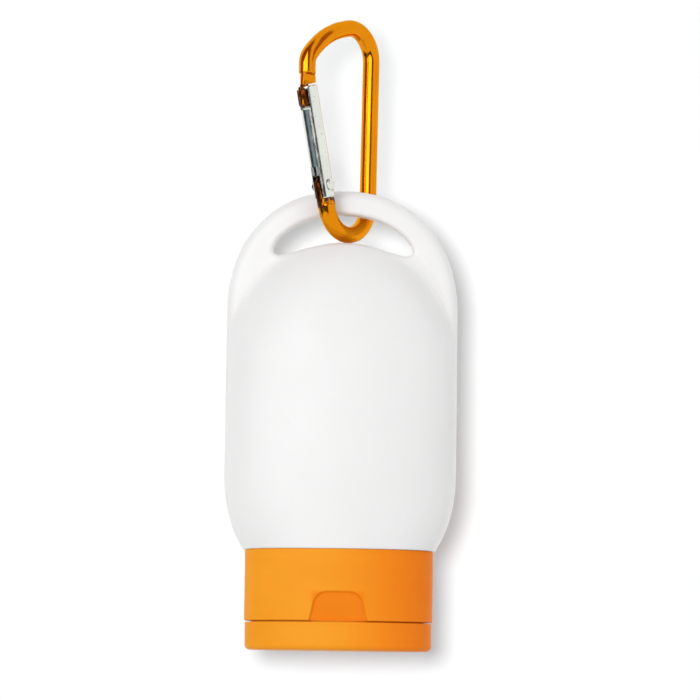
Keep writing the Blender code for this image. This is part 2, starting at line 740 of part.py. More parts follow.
def hook_path(places):
    """Centre line from the tongue's shoulder round the bend, up the spine and over to the nose."""
    bend = places["bend"]
    start = places["gate_foot"] - bend
    end = places["spine_foot"] - bend
    turn = math.tau - start.angle(end) if start.cross(end) < 0 else start.angle(end)
    steps = math.ceil(turn / ARC_STEP)
    arc = [bend + Matrix.Rotation(turn * i / steps, 2) @ start for i in range(steps + 1)]
    nose_end = places["gate_top"] + Vector((0, NOSE_FLAT_LENGTH + SEAT_GAP))
    corners = [arc[-1], places["spine_corner"], places["crown_corner"], places["nose_corner"], nose_end]
    radii = (0, SPINE_CORNER_RADIUS, CROWN_CORNER_RADIUS, NOSE_CORNER_RADIUS, 0)
    return [places["tongue_shoulder"]] + arc[:-1] + rounded_path(corners, radii)


def nose_parts(places):
    """The pressed flat above the gate, the neck that enters the gate's slot, and the tee bar at its end."""
    lean = gate_lean(places)
    top = places["gate_top"]
    slope = math.tan(-lean)
    centre = top.x + NOSE_FLAT_SHIFT
    outer, inner = centre - FLAT_WIDTH / 2, centre + FLAT_WIDTH / 2

    def above_gate(x):
        return top.y + SEAT_GAP / math.cos(lean) + (x - top.x) * slope

    neck_inner = outer + NOSE_NECK_WIDTH
    tee_low = top.y - NOSE_SLOT_LENGTH + 2 * SEAT_GAP
    root = top.y + NOSE_FLAT_LENGTH + SEAT_GAP + FLAT_ROOT
    outline = [
        (outer, tee_low),
        (neck_inner, tee_low),
        (neck_inner, above_gate(neck_inner)),
        (inner, above_gate(inner)),
        (inner, root - FLAT_ROOT),
        (inner - FLAT_ROOT, root),
        (outer + FLAT_ROOT, root),
        (outer, root - FLAT_ROOT),
    ]
    flat = extruded("nose_flat", outline, NOSE_FLAT_THICKNESS)
    half = TEE_BAR_WIDTH / 2
    tee = box(
        "tee_bar",
        (outer - RUNNING_GAP, -half, tee_low - RUNNING_GAP),
        (neck_inner + RUNNING_GAP, half, tee_low + TEE_BAR_HEIGHT),
    )
    return flat, tee


def tongue_part(places):
    """The pressed flat that the gate turns on, drawn about the rivet along the closed gate."""
    half = FLAT_WIDTH / 2
    tail = -GATE_TAIL - SEAT_GAP
    reach = TONGUE_NECK_REACH
    low = -TONGUE_SHOULDER_DROP - FLAT_ROOT
    outline = [
        (-half + FLAT_ROOT, low),
        (half - FLAT_ROOT, low),
        (half, low + FLAT_ROOT),
        (half, tail),
        (reach, tail),
        (reach, TONGUE_TOP),
        (-reach, TONGUE_TOP),
        (-half, TONGUE_TOP - (half - reach)),
        (-half, low + FLAT_ROOT),
    ]
    tongue = extruded("tongue", outline, TONGUE_THICKNESS)
    hole = rivet_rod("rivet_hole_cutter", RIVET_DIAMETER / 2 + RIVET_HOLE_GAP, TONGUE_THICKNESS)
    cut(tongue, hole)
    turn_about_y(tongue, gate_lean(places))
    move_mesh(tongue, (places["rivet"].x, 0, places["rivet"].y))
    return tongue


def rivet_rod(name, radius, reach):
    """A round rod along Y, centred on the origin."""
    rod = turned(name, [(0, -reach), (radius, -reach), (radius, reach), (0, reach)], WIRE_SIDES)
    rod.data.transform(Matrix.Rotation(math.pi / 2, 4, "X"))
    return rod


def make_hook_body(places, look, parent):
    """Bent bar with its two pressed ends."""
    body = swept_wire("carabiner_body", hook_path(places), WIRE_RADIUS)
    flat, tee = nose_parts(places)
    join(flat, tee)
    join(body, flat)
    join(body, tongue_part(places))
    return finish(body, look, parent)


def tail_slot():
    """The slot for the tongue: right through below the rivet, and open to one side above it."""
    past = GATE_DIAMETER / 2 + OVERRUN
    low = -GATE_TAIL - OVERRUN
    outline = [
        (-past, low),
        (past, low),
        (past, TAIL_SLOT_THROUGH),
        (TAIL_SLOT_REACH, TAIL_SLOT_THROUGH),
        (TAIL_SLOT_REACH, TAIL_SLOT_TOP),
        (-past, TAIL_SLOT_TOP),
    ]
    return extruded("tail_slot", outline, TAIL_SLOT_WIDTH)


def make_gate(places, look, parent):
    """Turned bar, slotted at both ends and bored for its spring, standing on its rivet."""
    radius = GATE_DIAMETER / 2
    low, high = -GATE_TAIL, gate_reach(places)
    edge = GATE_EDGE
    profile = [(0, low), (radius - edge, low), (radius, low + edge)]
    profile += [(radius, high - edge), (radius - edge, high), (0, high)]
    gate = turned("carabiner_gate", profile, 2 * WIRE_SIDES)
    bore = SPRING_BORE_DIAMETER / 2
    below, bore_top = low - OVERRUN, high * SPRING_BORE_SHARE
    bore_profile = [(0, below), (bore, below), (bore, bore_top), (0, bore_top)]
    cut(gate, turned("spring_bore", bore_profile, WIRE_SIDES))
    cut(gate, tail_slot())
    past = radius + OVERRUN
    half = NOSE_SLOT_WIDTH / 2
    slot_low, lip_low = high - NOSE_SLOT_LENGTH, high - NOSE_LIP
    cut(gate, box("nose_slot", (-past, -half, slot_low), (NOSE_SLOT_REACH, half, lip_low)))
    half = NOSE_FLAT_THICKNESS / 2 + SEAT_GAP
    mouth_reach = NOSE_SLOT_REACH + RUNNING_GAP
    cut(gate, box("nose_mouth", (-past, -half, lip_low - NOSE_LIP), (mouth_reach, half, high + OVERRUN)))
    cut(gate, rivet_rod("rivet_hole", RIVET_DIAMETER / 2 + RIVET_HOLE_GAP, past))
    for side in (-1, 1):
        face = rivet_rod("spot_face", RIVET_HEAD_DIAMETER / 2 + RUNNING_GAP, OVERRUN)
        move_mesh(face, (0, side * (radius - SPOT_FACE_DEPTH + OVERRUN), 0))
        cut(gate, face)
    return finish(gate, look, parent)


def make_rivet(places, look, parent):
    """Shank with a domed head at each end, resting on the gate's spot faces."""
    shank, head = RIVET_DIAMETER / 2, RIVET_HEAD_DIAMETER / 2
    seat = GATE_DIAMETER / 2 - SPOT_FACE_DEPTH + RUNNING_GAP
    crown = seat + RIVET_HEAD_HEIGHT
    rim = seat + RIVET_HEAD_HEIGHT * RIVET_RIM_SHARE
    upper = [(shank, seat), (head, seat), (head, rim), (shank, crown), (0, crown)]
    lower = [(radius, -height) for radius, height in reversed(upper)]
    rivet = turned("gate_rivet", lower + upper, WIRE_SIDES)
    rivet.data.transform(Matrix.Rotation(math.pi / 2, 4, "X"))
    move_mesh(rivet, (places["rivet"].x, 0, places["rivet"].y))
    return finish(rivet, look, parent)


def pusher_heights(places):
    """The foot of the pusher, clear of the tongue's corner as the gate turns, and its shoulder."""
    foot = math.hypot(TONGUE_NECK_REACH, TONGUE_TOP) + RUNNING_GAP
    return foot, foot + gate_reach(places) * PUSHER_HEAD_SHARE


def make_pusher(places, look, parent):
    """Pin that the spring presses against the tongue."""
    reach = gate_reach(places)
    head, stem = SPRING_DIAMETER / 2, PUSHER_STEM_DIAMETER / 2
    low, shoulder = pusher_heights(places)
    top = shoulder + reach * PUSHER_STEM_SHARE
    profile = [(0, low), (head, low), (head, shoulder), (stem, shoulder), (stem, top), (0, top)]
    return finish(turned("gate_plunger", profile, WIRE_SIDES), look, parent)


def make_spring(places, look, parent):
    """Open coil between the pusher's head and the end of the bore."""
    reach = gate_reach(places)
    low = pusher_heights(places)[1] + SEAT_GAP + SPRING_WIRE / 2
    high = reach * SPRING_BORE_SHARE - SEAT_GAP - SPRING_WIRE / 2
    radius = (SPRING_DIAMETER - SPRING_WIRE) / 2
    count = SPRING_TURNS * SPRING_POINTS_PER_TURN
    curve = bpy.data.curves.new("gate_spring", "CURVE")
    curve.dimensions = "3D"
    curve.bevel_depth = SPRING_WIRE / 2
    curve.bevel_resolution = 1
    curve.use_fill_caps = True
    spline = curve.splines.new("POLY")
    spline.points.add(count)
    for i, point in enumerate(spline.points):
        angle = math.tau * i / SPRING_POINTS_PER_TURN
        height = low + (high - low) * i / count
        point.co = (radius * math.cos(angle), radius * math.sin(angle), height, 1)
    spring = bpy.data.objects.new("gate_spring", curve)
    bpy.context.scene.collection.objects.link(spring)
    pitch = (high - low) / SPRING_TURNS
    print(f"least gap between the spring's turns: {(pitch - SPRING_WIRE) / MM:.2f} mm")
    return finish(spring, look, parent)


def main():
    clear_scene()
    white_plastic = material("white_polyethylene", (0.86, 0.86, 0.85), 0.42)
    orange_plastic = material("orange_polypropylene", (0.85, 0.27, 0.02), 0.5)
    foam = material("white_foam", (0.8, 0.8, 0.78), 0.8)
    orange_metal = material("orange_anodised_aluminium", (0.82, 0.29, 0.01), 0.2, 1.0)
    bare_metal = material("polished_aluminium", (0.83, 0.84, 0.85), 0.18, 1.0)
    steel = material("bright_steel", (0.7, 0.7, 0.72), 0.3, 1.0)

    make_bottle_body(white_plastic)
    make_neck_seal(foam)
    make_cap_base(orange_plastic)
    make_hinge(orange_plastic)
    make_cap_lid(orange_plastic)

    places = hook_places()
    swing = pivot("carabiner_pivot", HOOK_PIVOT, turn=(0, 0, HOOK_TURN))
    rivet = Vector((places["rivet"].x, 0, places["rivet"].y))
    gate_turn = pivot("gate_pivot", rivet, swing, (0, gate_lean(places), 0))
    make_hook_body(places, orange_metal, swing)
    make_rivet(places, bare_metal, swing)
    make_gate(places, bare_metal, gate_turn)
    make_pusher(places, steel, gate_turn)
    make_spring(places, steel, gate_turn)


main()
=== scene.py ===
"""Looks for the travel sunscreen bottle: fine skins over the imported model, materials, lights and camera."""

import math

import bmesh
import bpy
import numpy as np
from mathutils import Matrix, Vector
from mathutils.geometry import delaunay_2d_cdt


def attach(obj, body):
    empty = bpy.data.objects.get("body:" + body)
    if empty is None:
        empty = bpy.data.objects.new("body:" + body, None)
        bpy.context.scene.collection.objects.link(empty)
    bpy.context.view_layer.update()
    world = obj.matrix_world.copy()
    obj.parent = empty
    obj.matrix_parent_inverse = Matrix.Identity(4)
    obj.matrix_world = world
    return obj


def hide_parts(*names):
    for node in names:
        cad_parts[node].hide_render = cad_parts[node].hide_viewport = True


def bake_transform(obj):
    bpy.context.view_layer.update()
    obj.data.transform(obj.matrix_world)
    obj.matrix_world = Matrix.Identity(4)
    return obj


MM = 0.001
MICRON = 0.001 * MM

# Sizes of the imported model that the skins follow
OVAL_POWER = 2.2
HALF_CAP = Vector((21.05, 12.75)) * MM
LID_INSET = 0.2 * MM
LID_TOP = 6.15 * MM
LID_FLOOR = 1.3 * MM
PARTING = 6.3 * MM
BASE_BOTTOM = 6.45 * MM
DECK_TOP = 7.95 * MM
BASE_TOP = 22.3 * MM
CAP_WALL = 1.3 * MM
POCKET_HALF_WIDTH = 5.5 * MM
POCKET_FRONT = 12.0 * MM
POCKET_LOW, POCKET_HIGH = 3.9 * MM, 8.7 * MM
BODY_BOTTOM = 22.6 * MM
SHOULDER_END = 39.4 * MM
SHOULDER_ARC = 0.785
DOME_START = 75.4 * MM
BODY_TOP = 103.5 * MM
DOME_HEIGHT = BODY_TOP - DOME_START
BELLY_NARROWS = BODY_TOP - 39.5 * MM
BELLY_THINS = BODY_TOP - 45.5 * MM
BELLY_TOP = 92.2 * MM
HALF_BODY = Vector((26, 14)) * MM
HALF_FOOT = HALF_CAP + Vector((0.5, 0.5)) * MM
RIM_RADIUS = 2.6 * MM
HOLE_BEND = 24.2 * MM
HOLE_CENTRE = 94.75 * MM
HOLE_HALF_HEIGHT = 3.3 * MM
HOLE_HALF_ANGLE = math.radians(40)
HOLE_EDGE = 0.9 * MM
SEAT_GAP = 0.3 * MM
RUNNING_GAP = 0.15 * MM

# How fine the bottle's skin is, and the fillet that only it has
OUTLINE_STEPS = 200
HOLE_STEPS = 400
EDGE_STEP = 0.55 * MM
HOLE_STEP = 0.35 * MM
GRID_STEP = 0.65 * MM
GRID_ROW = 0.866 * GRID_STEP
EDGE_RINGS = 11
FILLET = 3.0 * MM
FILLET_FADE = 4 * MM
FOOT_DROP = 0.2 * MM

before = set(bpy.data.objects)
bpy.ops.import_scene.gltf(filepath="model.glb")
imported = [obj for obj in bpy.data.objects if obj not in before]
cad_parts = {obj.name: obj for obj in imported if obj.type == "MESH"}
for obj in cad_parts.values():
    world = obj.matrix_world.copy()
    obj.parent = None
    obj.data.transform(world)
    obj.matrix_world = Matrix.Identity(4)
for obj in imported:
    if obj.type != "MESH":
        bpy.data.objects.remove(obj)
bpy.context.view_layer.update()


def new_object(name, data):
    obj = bpy.data.objects.new(name, data)
    bpy.context.scene.collection.objects.link(obj)
    return obj


def smooth(mesh, sharp_degrees):
    mesh.shade_smooth()
    mesh.set_sharp_from_angle(angle=math.radians(sharp_degrees))


def to_object(name, bm, sharp_degrees=None):
    mesh = bpy.data.meshes.new(name)
    bm.to_mesh(mesh)
    bm.free()
    if sharp_degrees:
        smooth(mesh, sharp_degrees)
    return new_object(name, mesh)


def from_bmesh(name, bm):
    """An object with merged points, outward normals and sharp edges."""
    merge_distance, sharp_degrees = 0.1 * MICRON, 35
    bmesh.ops.remove_doubles(bm, verts=bm.verts, dist=merge_distance)
    bmesh.ops.recalc_face_normals(bm, faces=bm.faces)
    return to_object(name, bm, sharp_degrees)


def quads(rows, closed):
    """Four-cornered faces between neighbouring rows of points or their numbers."""
    faces = []
    for low, high in zip(rows, rows[1:]):
        for i in range(len(low) if closed else len(low) - 1):
            j = (i + 1) % len(low)
            faces.append((low[i], low[j], high[j], high[i]))
    return faces


def loft(name, rings, closed=False):
    """A skin through rings of equal count, joined last to first if closed, or else filled at both ends."""
    bm = bmesh.new()
    loops = [[bm.verts.new(point) for point in ring] for ring in rings]
    for corners in quads(loops + loops[:1] if closed else loops, True):
        bm.faces.new(corners)
    if not closed:
        bm.faces.new(reversed(loops[0]))
        bm.faces.new(loops[-1])
    return from_bmesh(name, bm)


def turned(name, profile, steps):
    """A solid of revolution about Z from (radius, height) points."""
    bm = bmesh.new()
    verts = [bm.verts.new((radius, 0, height)) for radius, height in profile]
    first = 0 if profile[0][0] > 0 else 1
    edges = [bm.edges.new((verts[i - 1], verts[i])) for i in range(first, len(verts))]
    bmesh.ops.spin(
        bm, geom=verts + edges, cent=(0, 0, 0), axis=(0, 0, 1), angle=math.tau, steps=steps, use_merge=True
    )
    return from_bmesh(name, bm)


def prism(name, outline, half_depth):
    """A straight-sided piece across the XZ plane, from (x, z) points."""
    return loft(name, [[(x, y, z) for x, z in outline] for y in (-half_depth, half_depth)])


def rectangle(low_x, high_x, low_z, high_z):
    return [(low_x, low_z), (high_x, low_z), (high_x, high_z), (low_x, high_z)]


def rod_along_y(name, radius, reach):
    rod = turned(name, [(0, -reach), (radius, -reach), (radius, reach), (0, reach)], 48)
    rod.data.transform(Matrix.Rotation(math.pi / 2, 4, "X"))
    return rod


def apply_modifiers(obj):
    graph = bpy.context.evaluated_depsgraph_get()
    result = bpy.data.meshes.new_from_object(obj.evaluated_get(graph))
    obj.modifiers.clear()
    obj.data = result


def cut(target, tool):
    modifier = target.modifiers.new("cut", "BOOLEAN")
    modifier.operation = "DIFFERENCE"
    modifier.solver = "EXACT"
    modifier.object = tool
    apply_modifiers(target)
    bpy.data.objects.remove(tool, do_unlink=True)


def plate(name, outline, half_depth):
    """A flat piece with its edges rounded a little, to catch the light."""
    sharp_degrees = 40
    made = prism(name, outline, half_depth)
    modifier = made.modifiers.new("soften", "BEVEL")
    modifier.width = 0.14 * MM
    modifier.segments = 2
    modifier.limit_method = "ANGLE"
    modifier.angle_limit = math.radians(sharp_degrees)
    modifier.harden_normals = True
    apply_modifiers(made)
    smooth(made.data, sharp_degrees)
    return made


def merge(target, others, place):
    """One object from several that touch, moved to its place."""
    name, sharp_degrees = target.name, 40
    bm = bmesh.new()
    for obj in [target] + others:
        bm.from_mesh(obj.data)
        bpy.data.objects.remove(obj, do_unlink=True)
    bm.transform(place)
    return to_object(name, bm, sharp_degrees)


def quarter(radius, steps):
    """(inset, rise) pairs of a rounded edge, from flat to upright."""
    turns = np.linspace(0, math.pi / 2, steps + 1)
    return [(radius * (1 - math.sin(turn)), radius * (1 - math.cos(turn))) for turn in turns]


# The bottle's skin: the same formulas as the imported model, on arrays
def share_between(value, low, high):
    return np.clip((value - low) / (high - low), 0, 1)


def shoulder_share(z):
    """How far the body has grown from foot to full size, along an arc."""
    start = math.sqrt(1 - SHOULDER_ARC**2)
    here = np.sqrt(1 - ((1 - share_between(z, BODY_BOTTOM, SHOULDER_END)) * SHOULDER_ARC) ** 2)
    return (here - start) / (1 - start)


def side_half_width(z):
    return HALF_FOOT.x + (HALF_BODY.x - HALF_FOOT.x) * shoulder_share(z)


def inside_edge(x, z):
    """How far a point is inside the bottle's outline."""
    nonzero, power = 1e-9, OVAL_POWER - 1
    side = side_half_width(np.minimum(z, DOME_START))
    across, up = np.abs(x) / side, np.maximum(z - DOME_START, 0) / DOME_HEIGHT
    level = np.maximum((across**OVAL_POWER + up**OVAL_POWER) ** (1 / OVAL_POWER), nonzero)
    slope = np.hypot((across / level) ** power / side, (up / level) ** power / DOME_HEIGHT)
    return np.maximum(1 - level, 0) / slope


def rim_half_depth(x, z):
    return np.sqrt(np.maximum(RIM_RADIUS**2 - np.maximum(RIM_RADIUS - inside_edge(x, z), 0) ** 2, 0))


def belly_half_depth(x, z):
    side_power, depth_power = 1.7, 2
    width = side_half_width(z) * np.sqrt(1 - share_between(z, BELLY_NARROWS, BELLY_TOP) ** side_power)
    depth = HALF_FOOT.y + (HALF_BODY.y - HALF_FOOT.y) * shoulder_share(z)
    depth = depth * np.sqrt(1 - share_between(z, BELLY_THINS, BELLY_TOP) ** depth_power)
    inside = np.clip(np.abs(x) / np.maximum(width, MICRON), 0, 1)
    return depth * (1 - inside**OVAL_POWER) ** (1 / OVAL_POWER)


def sharp_half_depth(x, z):
    """The belly and the rim together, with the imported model's small blend."""
    blend_power = 5
    return (belly_half_depth(x, z) ** blend_power + rim_half_depth(x, z) ** blend_power) ** (1 / blend_power)


def skin_half_depth(x, z):
    """The depth with a fillet round the belly: a mean over a disc that shrinks near the edge."""
    spokes, centre_weight, ring_weights = 8, 0.2, ((0.5, 0.06), (1, 0.04))
    reach = FILLET * np.clip(inside_edge(x, z) / FILLET_FADE, 0, 1)
    depth = centre_weight * sharp_half_depth(x, z)
    for share, weight in ring_weights:
        for turn in np.arange(spokes) * math.tau / spokes + share:
            aside, up = reach * share * np.cos(turn), reach * share * np.sin(turn)
            depth = depth + weight * sharp_half_depth(x + aside, z + up)
    return depth


def unit(vectors):
    return vectors / np.linalg.norm(vectors, axis=1)[:, None]


def upright(flat):
    """Vectors in the XZ plane from (x, z) pairs."""
    return np.column_stack([flat[:, 0], np.zeros(len(flat)), flat[:, 1]])


def skin_normals(x, z):
    """Outward normals of the front skin, from the slope of the formula."""
    step = 0.02 * MM
    slope_x = (skin_half_depth(x + step, z) - skin_half_depth(x - step, z)) / (2 * step)
    slope_z = (skin_half_depth(x, z + step) - skin_half_depth(x, z - step)) / (2 * step)
    return unit(np.column_stack([-slope_x, np.full(len(x), -1.0), -slope_z]))


def resample(points, step):
    """The same line with points an even distance apart."""
    lengths = np.concatenate([[0], np.cumsum(np.linalg.norm(np.diff(points, axis=0), axis=1))])
    places = np.linspace(0, lengths[-1], int(lengths[-1] / step) + 1)
    return np.column_stack([np.interp(places, lengths, points[:, i]) for i in range(2)])


def outline():
    """The outline from right foot over dome to left foot: points, inward directions and outward normals."""
    z_side = np.linspace(BODY_BOTTOM, DOME_START, OUTLINE_STEPS)
    right = np.column_stack([side_half_width(z_side), z_side])
    angle = np.linspace(0, math.pi / 2, 2 * OUTLINE_STEPS)[1:]
    dome = np.column_stack([
        HALF_BODY.x * np.cos(angle) ** (2 / OVAL_POWER),
        DOME_START + DOME_HEIGHT * np.sin(angle) ** (2 / OVAL_POWER),
    ])
    half = resample(np.vstack([right, dome]), EDGE_STEP)
    points = np.vstack([half, half[-2::-1] * (-1, 1)])
    along = np.gradient(points, axis=0)
    inward = unit(np.column_stack([-along[:, 1], along[:, 0]]))
    facing = -inward
    low = points[:, 1] < SHOULDER_END
    inward[low] = np.column_stack([-np.sign(points[low, 0]), np.zeros(low.sum())])
    return points, inward, facing


def hole_outline():
    """Points round the handle hole, with directions away from the hole."""
    end_power = 3
    share = np.sin(np.linspace(-math.pi / 2, math.pi / 2, HOLE_STEPS))
    half = HOLE_HALF_HEIGHT * np.sqrt(1 - np.abs(share) ** end_power)
    angle = HOLE_HALF_ANGLE * share
    centre = HOLE_CENTRE - HOLE_BEND
    upper, lower = (
        np.column_stack([radius * np.sin(angle), centre + radius * np.cos(angle)])
        for radius in (HOLE_BEND + half, HOLE_BEND - half)
    )
    points = resample(np.vstack([upper, lower[-2::-1]]), HOLE_STEP)[:-1]
    along = np.roll(points, -1, axis=0) - np.roll(points, 1, axis=0)
    return points, unit(np.column_stack([-along[:, 1], along[:, 0]]))


def within(points, loop):
    """Which of the points lie inside a closed loop."""
    x, z = points[:, 0:1], points[:, 1:2]
    x0, z0 = loop.T
    x1, z1 = np.roll(loop, -1, axis=0).T
    straddles = (z0 > z) != (z1 > z)
    rise = np.where(z1 == z0, 1, z1 - z0)
    left_of = x < x0 + (z - z0) / rise * (x1 - x0)
    return (straddles & left_of).sum(axis=1) % 2 == 1


def edge_distance(points, line):
    """Each point's distance from the nearest of the line's points."""
    return np.sqrt(((points[:, None, :] - line[None, :, :]) ** 2).sum(axis=2)).min(axis=1)


def even_grid(edge, rim):
    """A triangular grid of points, clear of the outline's edge and of the hole's rim."""
    rows = []
    for i, z in enumerate(np.arange(BODY_BOTTOM + GRID_STEP, BODY_TOP, GRID_ROW)):
        x = np.arange(-HALF_BODY.x, HALF_BODY.x, GRID_STEP) + (i % 2) * GRID_STEP / 2
        rows.append(np.column_stack([x, np.full(len(x), z)]))
    grid = np.vstack(rows)
    clear = 0.4 * GRID_STEP
    grid = grid[inside_edge(*grid.T) > 0]
    grid = grid[edge_distance(grid, edge) > RIM_RADIUS + clear]
    return grid[~within(grid, rim) & (edge_distance(grid, rim) > clear)]


def flat_fill(edge, inner, rim):
    """Even triangles between inner, foot and rim: points, faces and the numbers of those points."""
    foot_x = np.arange(-inner[0][0] + GRID_STEP, inner[0][0], GRID_STEP)[:-1]
    foot = np.column_stack([foot_x, np.full(len(foot_x), BODY_BOTTOM)])
    ends = np.cumsum([0, len(inner), len(foot), len(rim)])
    loops = [range(ends[2]), range(ends[2], ends[3])]
    edges = [(loop[i - 1], loop[i]) for loop in loops for i in range(len(loop))]
    scale, tolerance = 1 / MM, 1e-6
    flat = [Vector(point) * scale for point in np.vstack([inner, foot, rim, even_grid(edge, rim)])]
    points, _, faces, origin, _, _ = delaunay_2d_cdt(flat, edges, [], 1, tolerance, True)
    points = np.array([(point.x, point.y) for point in points]) / scale
    faces = np.array([face for face in faces if len(face) == 3])
    faces = faces[~within(points[faces].mean(axis=1), rim)]
    number = {source: i for i, sources in enumerate(origin) for source in sources}
    kept = [np.array([number[i] for i in range(start, end)]) for start, end in zip(ends, ends[1:])]
    return points, faces, kept


def numbers_from(first, size, rows):
    """Point numbers for rows of the given size, counted on from first."""
    return [first + size * row + np.arange(size) for row in range(rows)]


def make_body_skin():
    """A flat mesh over the bottle's outline, less the hole, lifted to the front and to the back skin."""
    edge, inward, facing = outline()
    hole, outward = hole_outline()
    rounding = 1 - np.cos(np.linspace(0, math.pi / 2, EDGE_RINGS))
    past_edge = 1.3 * HOLE_EDGE
    hole_steps = np.append(HOLE_EDGE * rounding, past_edge)
    edge_rings = [edge + inward * step for step in RIM_RADIUS * rounding]
    hole_rings = [hole + outward * step for step in hole_steps]
    fill, triangles, (inner, foot, rim) = flat_fill(edge, edge_rings[-1], hole_rings[-1])
    edge_rows = numbers_from(len(fill), len(edge), EDGE_RINGS - 1) + [inner]
    hole_rows = numbers_from(edge_rows[-2][-1] + 1, len(hole), EDGE_RINGS) + [rim]
    x, z = np.vstack([fill, *edge_rings[:-1], *hole_rings[:-1]]).T

    lift, normals = skin_half_depth(x, z), skin_normals(x, z)
    for step, row in zip(hole_steps, hole_rows[:-1]):
        lean = 1 - step / HOLE_EDGE
        rise = math.sqrt(1 - lean**2)
        lift[row] -= HOLE_EDGE * (1 - rise)
        normals[row] = unit(normals[row] * rise - upright(outward) * lean)
    lift[edge_rows[0]] = 0
    normals[edge_rows[0]] = upright(facing)
    front, back = np.column_stack([x, -lift, z]), np.column_stack([x, lift, z])

    count = len(x)
    faces = []
    for face in [tuple(face) for face in triangles] + quads(edge_rows, False) + quads(hole_rows, True):
        a, b, c = front[list(face[:3])]
        if np.cross(b - a, c - a)[1] >= 0:
            face = face[::-1]
        faces += [face, tuple(count + i for i in reversed(face))]

    ring, shares = hole_rows[0], (0.25, 0.5, 0.75)
    wall_rows = [ring, *numbers_from(2 * count, len(ring), len(shares)), ring + count]
    faces += quads([row[::-1] for row in wall_rows], True)
    verts = np.vstack([front, back] + [front[ring] * (1 - share) + back[ring] * share for share in shares])
    normals = np.vstack([normals, normals * (1, -1, 1)] + [normals[ring]] * len(shares))

    foot_line = [row[0] for row in edge_rows] + list(foot[::-1]) + [row[-1] for row in edge_rows[::-1]]
    faces.append(foot_line + [i + count for i in foot_line[-2:0:-1]])
    merged = {int(i) + count: int(i) for i in edge_rows[0]}
    faces = [tuple(merged.get(int(i), int(i)) for i in face) for face in faces]
    verts[verts[:, 2] < BODY_BOTTOM + MICRON, 2] -= FOOT_DROP

    mesh = bpy.data.meshes.new("bottle_skin")
    mesh.from_pydata([tuple(v) for v in verts], [], faces)
    mesh.validate()
    mesh.shade_smooth()
    mesh.normals_split_custom_set_from_vertices([tuple(n) for n in normals])
    mesh.update()
    return new_object("bottle_skin", mesh)


def make_neck():
    """The neck, with its bead and its bore."""
    bore, radius, proud = 6.8 * MM, 8.5 * MM, 9.1 * MM
    low, bead_low, bead_top, top = 9.55 * MM, 11.35 * MM, 12.55 * MM, BODY_BOTTOM + 0.6 * MM
    chamfer, ramp, tip = 0.2 * MM, 0.6 * MM, 0.1 * MM
    profile = [
        (bore, low), (radius - chamfer, low), (radius, low + chamfer),
        (radius, bead_low - ramp), (proud, bead_low), (proud, bead_top - tip), (proud - tip, bead_top),
        (radius, bead_top), (radius, top), (bore, top),
    ]
    return turned("neck_skin", profile, 96)


# The cap's columns: dense over the thumb recess, and a pair at each wall of the hinge pocket
def oval_angle(x, front):
    angle = np.arccos(np.sign(x) * np.abs(x / HALF_CAP.x) ** (OVAL_POWER / 2))
    return math.tau - angle if front else angle


HAIR = 0.02 * MM
FINE_ROW = 0.13 * MM
FINE_REACH = 8.5 * MM
SIDE_COLUMNS = 48
front_angles = oval_angle(np.arange(-FINE_REACH, FINE_REACH + HAIR / 2, FINE_ROW), True)
back_half = np.array([POCKET_HALF_WIDTH + HAIR, POCKET_HALF_WIDTH - HAIR, 4 * MM, 2.5 * MM, 1 * MM])
back_angles = math.tau + oval_angle(np.concatenate([back_half, -back_half[::-1]]), False)
COLUMNS = np.concatenate([
    front_angles,
    np.linspace(front_angles[-1], back_angles[0], SIDE_COLUMNS)[1:-1],
    back_angles,
    np.linspace(back_angles[-1], math.tau + front_angles[0], SIDE_COLUMNS)[1:-1],
])


def oval_ring(half, inset, z):
    cos, sin = np.cos(COLUMNS), np.sin(COLUMNS)
    x = np.sign(cos) * np.abs(cos) ** (2 / OVAL_POWER) * (half.x - inset)
    y = np.sign(sin) * np.abs(sin) ** (2 / OVAL_POWER) * (half.y - inset)
    ring = np.column_stack([x, y, np.full(len(x), z)])
    if POCKET_LOW < z < POCKET_HIGH:
        pocket = (np.abs(x) < POCKET_HALF_WIDTH) & (y > 0)
        ring[pocket, 1] = np.minimum(ring[pocket, 1], POCKET_FRONT)
    return ring


def round_ring(radius, z):
    """A circle with its points in the same directions as those of the cap's ovals."""
    oval = oval_ring(HALF_CAP, 0, 0)[:, :2]
    return np.column_stack([unit(oval) * radius, np.full(len(oval), z)])


def recessed(ring):
    """Presses the thumb recess into the front of the cap's wall."""
    height, half_width, narrowing = 6.6 * MM, 6.6 * MM, 1.5 * MM
    low_depth, high_depth = 1.45 * MM, 0.7 * MM
    corner, wall = 2.6 * MM, 0.5 * MM
    x, y, z = ring.T
    up = (z - BASE_BOTTOM) / height
    side = (half_width - narrowing * up - np.abs(x)) * math.cos(math.atan(narrowing / height))
    top = BASE_BOTTOM + height - z
    inside = corner - np.hypot(np.maximum(corner - side, 0), np.maximum(corner - top, 0))
    share = np.clip(inside / wall, 0, 1)
    share = share**2 * (3 - 2 * share)
    floor = low_depth - (low_depth - high_depth) * np.clip(up, 0, 1) - HALF_CAP.y
    pressed = ring.copy()
    pressed[:, 1] = np.where((y < 0) & (floor > y), y + (floor - y) * share, y)
    return pressed


